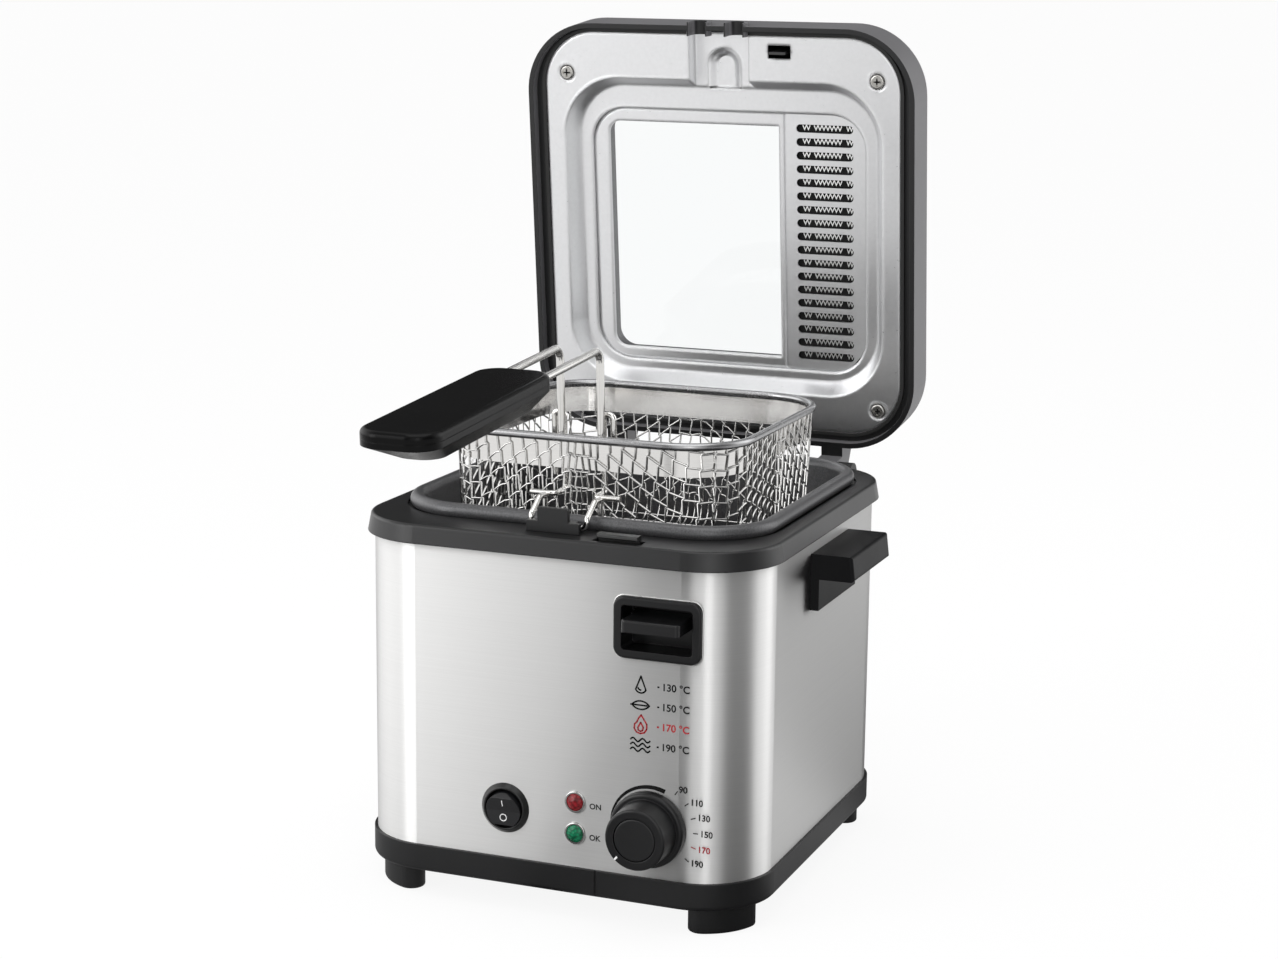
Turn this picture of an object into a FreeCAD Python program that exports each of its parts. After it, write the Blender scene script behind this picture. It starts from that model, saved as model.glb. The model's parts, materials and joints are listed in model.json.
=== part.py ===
import FreeCAD, Part
import math
import os
from FreeCAD import Vector

# Domestic deep fryer with a hinged window lid and a wire basket.
# Units are millimetres. X points to the right, Y to the back, Z up.
# The origin is on the floor under the middle of the housing.

os.makedirs("parts", exist_ok=True)

# Driving dimensions: body
body_width = 190.0
body_depth = 200.0
body_corner_radius = 32.0
housing_height = 139.5
housing_wall = 1.0
foot_height = 12.0
foot_width = 12.3
foot_half_angle = 25.0
foot_inset = 4.5
foot_edge_round = 1.2
base_height = 12.5
base_overhang = 1.5
base_floor = 3.0
base_wall = 4.0
lip_height = 8.0
lip_wall = 2.0
slip_gap = 0.2
base_seam_x = 25.0
base_seam_width = 1.2
base_seam_depth = 0.7
floor_slot_count = 7
floor_slot_length = 60.0
floor_slot_width = 4.0
floor_slot_pitch = 12.0

# Driving dimensions: collar round the tank
collar_height = 8.5
collar_overhang_low = 3.2
collar_overhang_top = 1.6
collar_edge_round = 1.5
collar_seat_gap = 1.2

# Driving dimensions: oil tank
tank_side_margin = 7.0
tank_front_margin = 20.0
tank_back_margin = 6.0
tank_corner_radius = 34.0
bead_diameter = 7.0
bead_rise = 5.5
tank_wall = 1.5
tank_draft = 5.0
tank_floor_z = 66.0
tank_bottom_round = 12.0

# Driving dimensions: heater and controls inside the body
element_tube = 7.0
element_loop_width = 96.0
element_loop_depth = 92.0
element_corner_radius = 30.0
element_lead_overrun = 7.5
element_lead_spacing = 24.0
post_diameter = 8.0
post_spacing_x = 124.0
post_spacing_y = 116.0
shield_thickness = 0.8
shield_lift = 14.0
shield_margin = 9.0
bulb_diameter = 6.0
bulb_length = 62.0
capillary_diameter = 2.0
cutout_diameter = 16.0
cutout_height = 8.0
terminal_size_x = 34.0
terminal_size_y = 16.0
terminal_size_z = 13.0
gland_diameter = 16.0
gland_flange = 22.0
gland_bore = 7.2
gland_z = 34.0
gland_x = -30.0

# Driving dimensions: front panel
control_row_z = 47.3
switch_x = -19.0
switch_bezel_diameter = 23.0
switch_cutout_diameter = 20.2
switch_body_depth = 15.0
switch_bezel_rise = 2.0
switch_well_depth = 8.0
rocker_diameter = 16.4
rocker_gap = 0.8
rocker_proud = 0.3
rocker_tilt = 10.0
rocker_axis_depth = 2.0
rocker_axle_diameter = 2.0
lamp_x = 14.7
lamp_pitch_z = 14.4
lamp_lens_diameter = 8.4
lamp_ring_diameter = 10.0
lamp_body_length = 12.0
knob_side_inset = 45.3
knob_skirt_diameter = 34.0
knob_skirt_length = 4.5
knob_grip_diameter = 29.0
knob_grip_taper = 0.8
knob_length = 17.5
knob_stand_off = 0.6
knob_cap_diameter = 19.5
knob_cap_depth = 2.2
knob_mark_width = 1.4
knob_mark_angle = 227.0
spindle_diameter = 6.0
spindle_flat = 1.5
running_gap = 0.05
thermostat_size = 26.4
thermostat_depth = 19.0

# Driving dimensions: lid latch
latch_x = 52.7
latch_z = 136.6
latch_width = 40.4
latch_height = 27.4
latch_corner_radius = 5.0
latch_face = 2.2
latch_border = 3.8
latch_pocket_depth = 11.0
latch_pocket_wall = 1.2
latch_travel = 4.0
lever_width = 26.6
lever_height = 5.4
lever_top_gap = 4.3
lever_reach = 8.8
lever_stem_width = 16.0
latch_side_gap = 0.5
hook_x = 32.2
hook_width = 19.0
hook_sheet = 2.0
hook_slot_inset = 4.7
hook_slot_width = 22.5
hook_slot_depth = 7.0
hook_head_depth = 4.8
hook_rise = 3.0
spring_wire = 0.8
spring_diameter = 6.0
spring_turns = 6
spring_pitch = 2.2

# Driving dimensions: side handles
side_handle_length = 56.0
side_handle_y = 7.0
side_handle_reach = 20.5
side_handle_top_z = 157.0
side_handle_thickness = 11.5
side_handle_plate_height = 26.0
side_handle_plate = 4.0
side_handle_round = 1.5
side_handle_draft = 1.4

# Driving dimensions: lid, stated as if it were closed
lid_side_overhang = 5.5
lid_front_overhang = 3.6
lid_back_overhang = 5.0
lid_corner_radius = 35.0
lid_height = 30.0
lid_wall = 2.6
lid_edge_round = 9.0
lid_rim_drop = 4.0
lid_ledge = 2.0
lid_ledge_grip = 3.0
window_frame_wall = 1.6
window_frame_margin = 2.8
lid_open_angle = 84.0
plate_lift = 0.5
plate_side_margin = 8.0
plate_front_margin = 4.6
plate_back_margin = 7.0
plate_corner_radius = 27.0
plate_sheet = 0.8
recess_side_margin = 9.5
recess_back_margin = 18.0
recess_front_margin = 22.6
recess_corner_radius = 30.0
recess_depth = 9.5
recess_slope = 4.6
step_side_margin = 11.0
step_back_margin = 10.0
step_front_margin = 16.4
step_corner_radius = 18.0
step_depth = 2.5
window_left_margin = 8.5
window_width = 90.5
window_back_margin = 6.0
window_front_margin = 7.0
window_corner_radius = 6.5
glass_thickness = 3.0
glass_overlap = 4.0
channel_width = 31.0
channel_wire_x = 9.6
notch_radius = 4.4
notch_rise = 3.6
hood_wall = 1.8
hood_length = 1.6
arch_width = 17.0
arch_depth = 2.2
arch_length = 20.0
channel_depth = 8.6
catch_hole_x = 31.4
catch_hole_inset = 7.8
catch_hole_width = 11.5
catch_hole_depth = 6.3
catch_tongue_width = 8.5
catch_tongue_sheet = 1.2
catch_tongue_drop = 4.6
catch_foot = 9.0
vent_seam_gap = 3.6
vent_seam_width = 0.9
vent_edge_gap = 0.6
window_trim_edge_gap = 0.25
vent_slot_inset_left = 5.4
vent_slot_inset_right = 6.8
vent_end_margin = 5.0
vent_slot_pitch = 6.76
vent_slot_height = 4.0
vent_sheet = 0.8
filter_thickness = 4.0
filter_border = 3.0
lid_vent_count = 9
lid_vent_pitch = 11.5
lid_vent_width = 5.0
gasket_width = 1.9
gasket_height = 1.6
screw_side_inset = 11.7
screw_back_inset = 12.4
screw_front_inset = 20.8
screw_head_diameter = 7.0
screw_head_height = 1.8
screw_shank_diameter = 3.4
screw_dimple_diameter = 9.5
screw_dimple_depth = 1.2
screw_length = 9.0
screw_cross_length = 4.2
screw_cross_width = 0.9
screw_cross_depth = 1.0

# Driving dimensions: hinge
hinge_reach = 16.0
hinge_z = 165.0
hinge_pin_diameter = 5.0
hinge_barrel_diameter = 13.0
hinge_arm_x = 58.0
hinge_arm_width = 11.0
hinge_side_gap = 0.5
hinge_lug_width = 8.0
hinge_barrel_half = 37.0
hinge_plate_thickness = 3.0
hinge_plate_height = 26.0
hinge_spring_wire = 1.6
hinge_spring_diameter = 9.6
hinge_spring_turns = 4
hinge_spring_pitch = 2.6
hinge_spring_clearance = 2.6
hinge_spring_leg_gap = 0.3
hinge_screw_x = 50.5
hinge_screw_spacing_z = 11.0

# Driving dimensions: basket, stated as it hangs raised
basket_side_clearance = 16.0
basket_end_clearance = 14.0
basket_corner_radius = 32.0
basket_top_z = 211.0
basket_height = 68.0
basket_taper = 3.0
basket_rim_wire = 3.6
basket_mesh_wall = 1.0
basket_bottom_round = 8.0
band_height = 12.0
band_sheet = 0.8
mesh_cells_round = 34
mesh_rows = 5
mesh_bar_width = 2.4
handle_wire = 3.6
handle_wire_x = 9.5
handle_wire_low_z = 198.0
handle_lean = 3.8
handle_bend_z = 249.6
handle_bend_radius = 6.0
handle_slope = 3.4
grip_length = 120.3
grip_width = 34.0
grip_above = 4.2
grip_below = 10.6
grip_side_height = 2.6
grip_start = 63.0
grip_insert = 24.0
grip_corner_radius = 11.0
grip_round = 2.4
grip_belly_inset = 6.5
grip_tip_inset = 19.0
grip_rear_inset = 9.0
hanger_wire = 2.6
hanger_x = 14.2
hanger_low_z = 184.4
hanger_arch = 9.0
hanger_inner_z = 191.0
hanger_bend_radius = 2.3
hanger_room = 0.35
hanger_foot = 12.0
weld_gap = 0.05

# Driving dimensions: drain hook and its guard tab on the collar
drain_wire = 2.6
drain_x = 13.2
drain_hook_gap = 0.35
drain_bar_inset = 14.7
drain_arch_z = 184.4
drain_arch_length = 6.2
drain_front_z = 178.4
drain_arch_bend = 1.9
drain_leg_low_z = 166.0
drain_bar_z = 174.0
drain_bend_radius = 3.0
tab_width = 25.0
tab_top_width = 14.4
tab_low_height = 4.9
tab_height = 11.1
tab_thickness = 2.4
tab_inset = 8.5
saddle_width = 18.0
saddle_height = 4.3

# Derived levels
base_bottom_z = foot_height
base_top_z = base_bottom_z + base_height
housing_top_z = base_top_z + housing_height
collar_top_z = housing_top_z + collar_height
floor_top_z = base_bottom_z + base_floor
bead_radius = bead_diameter / 2.0
bead_z = collar_top_z + bead_rise - bead_radius
bead_top_z = bead_z + bead_radius
tank_bottom_z = tank_floor_z - tank_wall
front_y = -body_depth / 2.0
back_y = body_depth / 2.0
side_x = body_width / 2.0
tank_rim_width = body_width - 2 * tank_side_margin
tank_rim_depth = body_depth - tank_front_margin - tank_back_margin
tank_offset_y = (tank_front_margin - tank_back_margin) / 2.0
hook_slot_y = front_y + hook_slot_inset
knob_x = side_x - knob_side_inset
tank_flat_half = tank_rim_depth / 2.0 - (bead_diameter - tank_wall) - tank_draft - tank_bottom_round
element_lead_y = tank_offset_y - tank_flat_half - element_lead_overrun
lid_width = body_width + 2 * lid_side_overhang
lid_depth = body_depth + lid_front_overhang + lid_back_overhang
lid_back_y = back_y + lid_back_overhang
plate_width = lid_width - 2 * plate_side_margin
plate_depth = lid_depth - plate_front_margin - plate_back_margin
plate_back_y = lid_back_y - plate_back_margin
plate_front_y = plate_back_y - plate_depth
recess_width = plate_width - 2 * recess_side_margin
recess_back_y = plate_back_y - recess_back_margin
recess_front_y = plate_front_y + recess_front_margin
step_width = recess_width - 2 * step_side_margin
step_back_y = recess_back_y - step_back_margin
step_front_y = recess_front_y + step_front_margin
window_left_x = window_left_margin - step_width / 2.0
window_right_x = window_left_x + window_width
window_back_y = step_back_y - window_back_margin
window_front_y = step_front_y + window_front_margin
vent_left_x = window_right_x + vent_seam_gap
vent_slot_left_x = vent_left_x + vent_slot_inset_left
vent_slot_right_x = step_width / 2.0 - vent_slot_inset_right
vent_run = step_back_y - step_front_y - 2 * vent_end_margin - vent_slot_height
vent_slot_count = int(vent_run / vent_slot_pitch) + 1
lid_screw_x = plate_width / 2.0 - screw_side_inset
lid_screw_back_y = plate_back_y - screw_back_inset
lid_screw_front_y = plate_front_y + screw_front_inset
catch_hole_y = plate_front_y + catch_hole_inset
hinge_y = back_y + hinge_reach
basket_width = tank_rim_width - 2 * basket_side_clearance
basket_depth = tank_rim_depth - 2 * basket_end_clearance
tab_y = front_y + tab_inset
drain_front_y = front_y + drain_bar_inset
plate_z = bead_top_z + plate_lift
lid_rim_z = plate_z - lid_rim_drop
lid_top_z = lid_rim_z + lid_height
recess_z = plate_z + recess_depth
step_z = recess_z + step_depth
lid_mid_y = lid_back_y - lid_depth / 2.0
plate_mid_y = plate_back_y - plate_depth / 2.0
basket_mid_y = tank_offset_y
basket_front_y = basket_mid_y - basket_depth / 2.0
basket_rim_z = basket_top_z - basket_rim_wire / 2.0
basket_bottom_z = basket_top_z - basket_height
handle_wire_y = basket_front_y + basket_rim_wire + handle_wire / 2.0 + weld_gap
hanger_outer_y = basket_front_y - hanger_wire / 2.0 - weld_gap
drain_leg_y = hanger_outer_y - hanger_wire / 2.0 - drain_hook_gap - drain_wire / 2.0


# Shape helpers
def rounded_outline(width, depth, radius, z, middle_x=0.0, middle_y=0.0):
    """Level closed wire: a rectangle with four round corners."""
    half_x = width / 2.0 - radius
    half_y = depth / 2.0 - radius
    up = Vector(0, 0, 1)
    corners = [(1, 1, 0), (-1, 1, 90), (-1, -1, 180), (1, -1, 270)]
    arcs = []
    for side_sign, end_sign, start in corners:
        centre = Vector(middle_x + side_sign * half_x, middle_y + end_sign * half_y, z)
        arcs.append(Part.makeCircle(radius, centre, up, start, start + 90))
    edges = []
    for index, arc in enumerate(arcs):
        following = arcs[(index + 1) % len(arcs)]
        edges.append(arc)
        edges.append(Part.makeLine(arc.Vertexes[-1].Point, following.Vertexes[0].Point))
    return Part.Wire(edges)


def slab(width, depth, radius, z_low, z_high, middle_x=0.0, middle_y=0.0):
    """Upright prism on a rounded outline."""
    outline = rounded_outline(width, depth, radius, z_low, middle_x, middle_y)
    return Part.Face(outline).extrude(Vector(0, 0, z_high - z_low))


def tapered(low, high):
    """Ruled solid between two level outlines."""
    return Part.makeLoft([low, high], True, True)


def block(x_low, x_high, y_low, y_high, z_low, z_high):
    return Part.makeBox(x_high - x_low, y_high - y_low, z_high - z_low, Vector(x_low, y_low, z_low))


def rod(diameter, length, start, direction):
    return Part.makeCylinder(diameter / 2.0, length, start, direction)


def level_edges(shape, z):
    """Edges of a shape that lie wholly at one height."""
    found = []
    for edge in shape.Edges:
        box = edge.BoundBox
        if abs(box.ZMin - z) < 1e-4 and abs(box.ZMax - z) < 1e-4:
            found.append(edge)
    return found


def edges_facing(shape, axis, value):
    """Edges of a shape that lie wholly at one value of X, Y or Z."""
    found = []
    for edge in shape.Edges:
        box = edge.BoundBox
        low = (box.XMin, box.YMin, box.ZMin)[axis]
        high = (box.XMax, box.YMax, box.ZMax)[axis]
        if abs(low - value) < 1e-4 and abs(high - value) < 1e-4:
            found.append(edge)
    return found


def bent_path(points, radii):
    """Straight runs through the points, joined by tangent arcs of the given radii."""
    edges = []
    start = points[0]
    for index in range(1, len(points) - 1):
        corner = points[index]
        back = (points[index - 1] - corner).normalize()
        ahead = (points[index + 1] - corner).normalize()
        half_turn = back.getAngle(ahead) / 2.0
        reach = radii[index - 1] / math.tan(half_turn)
        enter = corner + back * reach
        leave = corner + ahead * reach
        middle_direction = (back + ahead).normalize()
        centre = corner + middle_direction * (radii[index - 1] / math.sin(half_turn))
        middle = centre - middle_direction * radii[index - 1]
        if (enter - start).Length > 1e-6:
            edges.append(Part.makeLine(start, enter))
        edges.append(Part.Arc(enter, middle, leave).toShape())
        start = leave
    edges.append(Part.makeLine(start, points[-1]))
    return Part.Wire(edges)


def wire_along(path, diameter):
    """Round wire swept along a path of runs and arcs."""
    first = path.OrderedEdges[0]
    start = first.valueAt(first.FirstParameter)
    direction = first.tangentAt(first.FirstParameter)
    profile = Part.Wire([Part.makeCircle(diameter / 2.0, start, direction)])
    return path.makePipeShell([profile], True, False)


def biarc(start, start_tangent, end, end_tangent):
    """Two tangent arcs from start to end, with the given directions at both ends."""
    across = end - start
    bend = 2.0 * (1.0 - start_tangent.dot(end_tangent))
    along = across.dot(start_tangent + end_tangent)
    reach = (-along + math.sqrt(along * along + bend * across.dot(across))) / bend
    meet = (start + end + (start_tangent - end_tangent) * reach) * 0.5
    arcs = []
    for point, tangent, other in ((start, start_tangent, meet), (end, end_tangent * -1.0, meet)):
        chord = other - point
        angle = tangent.getAngle(chord)
        sideways = (tangent - chord * (tangent.dot(chord) / chord.dot(chord))).normalize()
        sagitta = chord.Length / 2.0 * math.tan(angle / 2.0)
        middle = (point + other) * 0.5 + sideways * sagitta
        arcs.append((point, middle, other))
    first = Part.Arc(*arcs[0]).toShape()
    second = Part.Arc(arcs[1][2], arcs[1][1], arcs[1][0]).toShape()
    return [first, second]


def coil_edges(base, axis, across, radius, pitch, turns):
    """Helix about an axis, as two biarcs for each turn's half."""
    upright = axis.cross(across)
    steps = int(round(turns * 2))
    rise = pitch / (2.0 * math.pi)
    slant = math.sqrt(radius * radius + rise * rise)

    def at(angle):
        place = base + across * (radius * math.cos(angle)) + upright * (radius * math.sin(angle))
        return place + axis * (rise * angle)

    def heading(angle):
        turn = across * (-radius * math.sin(angle)) + upright * (radius * math.cos(angle))
        return (turn + axis * rise) * (1.0 / slant)

    edges = []
    for step in range(steps):
        begin = math.pi * step
        finish = math.pi * (step + 1)
        edges += biarc(at(begin), heading(begin), at(finish), heading(finish))
    return edges


def mirrored(shape):
    """The same piece on the other side of the middle plane X = 0."""
    return shape.mirror(Vector(0, 0, 0), Vector(1, 0, 0))


def fused(shapes):
    """One solid from touching or crossing solids."""
    whole = shapes[0]
    for shape in shapes[1:]:
        whole = whole.fuse(shape)
    return whole.removeSplitter()


def opened(shape):
    """Swing a piece of the closed lid to its open place at rest."""
    turned = shape.copy()
    turned.rotate(Vector(0, hinge_y, hinge_z), Vector(1, 0, 0), -lid_open_angle)
    return turned


parts = {}


# Body shell, base and feet
def make_housing():
    outer = slab(body_width, body_depth, body_corner_radius, base_top_z, housing_top_z)
    inner = slab(body_width - 2 * housing_wall, body_depth - 2 * housing_wall,
                 body_corner_radius - housing_wall, base_top_z, housing_top_z)
    shell = outer.cut(inner)
    through = 2 * housing_wall + 4.0
    start_y = front_y - 2.0
    forward = Vector(0, 1, 0)
    holes = [rod(switch_cutout_diameter, through, Vector(switch_x, start_y, control_row_z), forward)]
    for sign in (1, -1):
        place = Vector(lamp_x, start_y, control_row_z + sign * lamp_pitch_z / 2.0)
        holes.append(rod(lamp_lens_diameter, through, place, forward))
    spindle_hole = spindle_diameter + 2.0
    holes.append(rod(spindle_hole, through, Vector(knob_x, start_y, control_row_z), forward))
    pocket_width = latch_width - 2 * latch_border + 2 * latch_pocket_wall
    pocket_height = latch_height - 2 * latch_border + 2 * latch_pocket_wall
    holes.append(block(latch_x - pocket_width / 2, latch_x + pocket_width / 2, start_y, start_y + through,
                       latch_z - pocket_height / 2, latch_z + pocket_height / 2))
    holes.append(rod(gland_diameter, through, Vector(gland_x, back_y - through + 2.0, gland_z), forward))
    for hole in holes:
        shell = shell.cut(hole)
    return shell


def base_tray():
    width = body_width + 2 * base_overhang
    depth = body_depth + 2 * base_overhang
    radius = body_corner_radius + base_overhang
    tray = slab(width, depth, radius, base_bottom_z, base_top_z)
    tray = tray.makeFillet(2.0, level_edges(tray, base_bottom_z))
    hollow = slab(width - 2 * base_wall, depth - 2 * base_wall, radius - base_wall, floor_top_z, base_top_z)
    tray = tray.cut(hollow)
    inset = housing_wall + slip_gap
    lip_outer = slab(body_width - 2 * inset, body_depth - 2 * inset, body_corner_radius - inset,
                     floor_top_z, base_top_z + lip_height)
    inset += lip_wall
    lip_inner = slab(body_width - 2 * inset, body_depth - 2 * inset, body_corner_radius - inset,
                     floor_top_z, base_top_z + lip_height)
    tray = tray.fuse(lip_outer.cut(lip_inner)).removeSplitter()
    tray = tray.cut(block(base_seam_x - base_seam_width / 2, base_seam_x + base_seam_width / 2,
                          front_y - base_overhang - 1.0, front_y - base_overhang + base_seam_depth,
                          base_bottom_z - 1.0, base_top_z + 1.0))
    for index in range(floor_slot_count):
        y = (index - (floor_slot_count - 1) / 2.0) * floor_slot_pitch
        tray = tray.cut(slab(floor_slot_length, floor_slot_width, floor_slot_width / 2 - 0.01,
                             base_bottom_z - 1.0, floor_top_z + 1.0, 0.0, y))
    gland_room = rod(gland_flange + 1.0, 12.0, Vector(gland_x, back_y - 10.0, gland_z), Vector(0, 1, 0))
    return tray.cut(gland_room)


def make_feet():
    """Four bowed pads that follow the base's round corners, each with round ends."""
    outer = body_corner_radius + base_overhang - foot_inset
    middle = outer - foot_width / 2.0
    inner = outer - foot_width
    reach = math.radians(foot_half_angle)
    feet = {}
    for end, end_sign in (("front", -1), ("rear", 1)):
        for side, side_sign in (("left", -1), ("right", 1)):
            centre = Vector(side_sign * (side_x - body_corner_radius), end_sign * (back_y - body_corner_radius), 0)

            def spot(turn, radius, ahead=0.0):
                angle = math.pi / 4 + turn
                outward = Vector(side_sign * math.sin(angle), end_sign * math.cos(angle), 0)
                along = Vector(side_sign * math.cos(angle), -end_sign * math.sin(angle), 0)
                return centre + outward * radius + along * ahead

            rounds = [(spot(-reach, outer), spot(0.0, outer), spot(reach, outer)),
                      (spot(reach, outer), spot(reach, middle, foot_width / 2.0), spot(reach, inner)),
                      (spot(reach, inner), spot(0.0, inner), spot(-reach, inner)),
                      (spot(-reach, inner), spot(-reach, middle, -foot_width / 2.0), spot(-reach, outer))]
            outline = Part.Wire([Part.Arc(*points).toShape() for points in rounds])
            foot = Part.Face(outline).extrude(Vector(0, 0, foot_height))
            feet["foot_" + end + "_" + side] = foot.makeFillet(foot_edge_round, level_edges(foot, 0.0))
    return feet


def make_collar():
    low = rounded_outline(body_width + 2 * collar_overhang_low, body_depth + 2 * collar_overhang_low,
                          body_corner_radius + collar_overhang_low, housing_top_z)
    high = rounded_outline(body_width + 2 * collar_overhang_top, body_depth + 2 * collar_overhang_top,
                           body_corner_radius + collar_overhang_top, collar_top_z)
    ring = tapered(low, high)
    ring = ring.makeFillet(collar_edge_round, level_edges(ring, collar_top_z))
    inset = housing_wall + slip_gap
    skirt = slab(body_width - 2 * inset, body_depth - 2 * inset, body_corner_radius - inset,
                 housing_top_z - lip_height, housing_top_z)
    inset += lip_wall
    skirt_inner = slab(body_width - 2 * inset, body_depth - 2 * inset, body_corner_radius - inset,
                       housing_top_z - lip_height, housing_top_z)
    ring = ring.fuse(skirt.cut(skirt_inner)).removeSplitter()
    seat_z = bead_z - bead_radius - slip_gap / 2
    seat = slab(tank_rim_width + 2 * collar_seat_gap, tank_rim_depth + 2 * collar_seat_gap,
                tank_corner_radius + collar_seat_gap, seat_z, collar_top_z + 1.0, 0.0, tank_offset_y)
    reach = bead_diameter - tank_wall - collar_seat_gap
    opening = slab(tank_rim_width - 2 * reach, tank_rim_depth - 2 * reach, tank_corner_radius - reach,
                   housing_top_z - lip_height - 1.0, seat_z + 1.0, 0.0, tank_offset_y)
    ring = ring.cut(seat).cut(opening)
    slot = slab(hook_slot_width, hook_slot_depth, 1.0, housing_top_z - 1.0, collar_top_z + 1.0, hook_x, hook_slot_y)
    return ring.cut(slot)


# Oil tank and what heats it
def tank_outline(inset, z):
    return rounded_outline(tank_rim_width - 2 * inset, tank_rim_depth - 2 * inset,
                           tank_corner_radius - inset, z, 0.0, tank_offset_y)


def make_tank():
    bead = wire_along(tank_outline(bead_radius, bead_z), bead_diameter)
    outer_inset = bead_diameter - tank_wall
    outer = tapered(tank_outline(outer_inset + tank_draft, tank_bottom_z), tank_outline(outer_inset, bead_z))
    outer = outer.makeFillet(tank_bottom_round, level_edges(outer, tank_bottom_z))
    inner_inset = bead_diameter
    mouth_z = bead_z + bead_diameter
    spread = tank_draft * (mouth_z - tank_floor_z) / (bead_z - tank_floor_z)
    inner = tapered(tank_outline(inner_inset + tank_draft, tank_floor_z),
                    tank_outline(inner_inset + tank_draft - spread, mouth_z))
    inner = inner.makeFillet(tank_bottom_round - tank_wall, level_edges(inner, tank_floor_z))
    return bead.fuse(outer).cut(inner).removeSplitter()


def element_level():
    return tank_bottom_z - element_tube / 2.0


def make_element():
    half_x = element_loop_width / 2.0
    half_y = element_loop_depth / 2.0
    lead_x = element_lead_spacing / 2.0
    z = element_level()
    front = tank_offset_y - half_y
    rear = tank_offset_y + half_y
    lead_front = element_lead_y
    points = [Vector(-lead_x, lead_front, z), Vector(-lead_x, front, z), Vector(-half_x, front, z),
              Vector(-half_x, rear, z), Vector(half_x, rear, z), Vector(half_x, front, z),
              Vector(lead_x, front, z), Vector(lead_x, lead_front, z)]
    small = element_tube
    corner = element_corner_radius
    path = bent_path(points, [small, min(corner, half_x - lead_x - small - 1.0), corner, corner,
                              min(corner, half_x - lead_x - small - 1.0), small])
    return wire_along(path, element_tube)


def element_terminals():
    """Ceramic end caps and flat blades on the two element leads."""
    solids = []
    z = element_level()
    front = element_lead_y
    for sign in (-1, 1):
        x = sign * element_lead_spacing / 2.0
        cap = rod(element_tube + 2.0, 5.0, Vector(x, front, z), Vector(0, -1, 0))
        blade = block(x - 3.0, x + 3.0, front - 13.0, front - 4.0, z - 0.4, z + 0.4)
        solids.append(cap.fuse(blade).removeSplitter())
    return Part.makeCompound(solids)


def post_places():
    return [Vector(sx * post_spacing_x / 2, tank_offset_y + sy * post_spacing_y / 2, 0)
            for sx in (-1, 1) for sy in (-1, 1)]


def tank_posts():
    posts = []
    for place in post_places():
        foot = Vector(place.x, place.y, floor_top_z)
        posts.append(rod(post_diameter, tank_bottom_z - floor_top_z, foot, Vector(0, 0, 1)))
    return Part.makeCompound(posts)


def heat_shield():
    low = floor_top_z + shield_lift
    width = post_spacing_x + post_diameter + 2 * shield_margin
    depth = post_spacing_y + post_diameter + 2 * shield_margin
    plate = slab(width, depth, 10.0, low, low + shield_thickness, 0.0, tank_offset_y)
    for place in post_places():
        plate = plate.cut(rod(post_diameter, 4.0, Vector(place.x, place.y, low - 1.0), Vector(0, 0, 1)))
    return plate


def thermostat_bulb():
    """Sensor bulb held against the underside of the tank."""
    z = tank_bottom_z - bulb_diameter / 2.0
    return rod(bulb_diameter, bulb_length, Vector(-bulb_length / 2, tank_offset_y, z), Vector(1, 0, 0))


def capillary_tube():
    """Thin tube from the back of the thermostat to the bulb."""
    z = tank_bottom_z - bulb_diameter / 2.0
    start_y = front_y + housing_wall + thermostat_depth
    bulb_end = bulb_length / 2.0
    turn_x = bulb_end + 9.0
    under_z = tank_bottom_z - element_tube - 5.0
    points = [Vector(knob_x, start_y, control_row_z), Vector(knob_x, start_y + 22.0, control_row_z),
              Vector(turn_x, tank_offset_y - 24.0, under_z), Vector(turn_x, tank_offset_y, z),
              Vector(bulb_end, tank_offset_y, z)]
    return wire_along(bent_path(points, [8.0, 8.0, 5.0]), capillary_diameter)


def thermal_cutout():
    z = tank_bottom_z - cutout_height
    place = Vector(-20.0, tank_offset_y + 24.0, z)
    body = rod(cutout_diameter, cutout_height, place, Vector(0, 0, 1))
    tabs = [block(place.x + sign * 5.0 - 2.5, place.x + sign * 5.0 + 2.5, place.y - 12.0, place.y + 12.0,
                  z, z + 0.8) for sign in (-1, 1)]
    return fused([body] + tabs)


def terminal_block():
    x = gland_x
    y = back_y - 34.0
    body = block(x - terminal_size_x / 2, x + terminal_size_x / 2, y - terminal_size_y / 2,
                 y + terminal_size_y / 2, floor_top_z, floor_top_z + terminal_size_z)
    for index in (-1, 0, 1):
        hole = rod(5.0, terminal_size_y + 2.0, Vector(x + index * 10.0, y - terminal_size_y / 2 - 1.0,
                                                    floor_top_z + terminal_size_z / 2), Vector(0, 1, 0))
        body = body.cut(hole)
    return body


def cord_gland():
    """Bush in the rear wall where the mains lead goes in."""
    outward = Vector(0, 1, 0)
    inside = back_y - housing_wall
    barrel = rod(gland_diameter - 2 * slip_gap, 12.0, Vector(gland_x, inside - 9.0, gland_z), outward)
    flange = Part.makeCone(gland_flange / 2.0, gland_diameter / 2.0, 3.0, Vector(gland_x, back_y, gland_z), outward)
    nut = rod(gland_flange, 3.0, Vector(gland_x, inside - 3.0, gland_z), outward)
    bore = rod(gland_bore, 30.0, Vector(gland_x, inside - 12.0, gland_z), outward)
    return fused([barrel, flange, nut]).cut(bore)


# Front panel controls
def switch_body_diameter():
    return switch_cutout_diameter - 2 * slip_gap


def rocker_axis_y():
    return front_y + rocker_axis_depth


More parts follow.
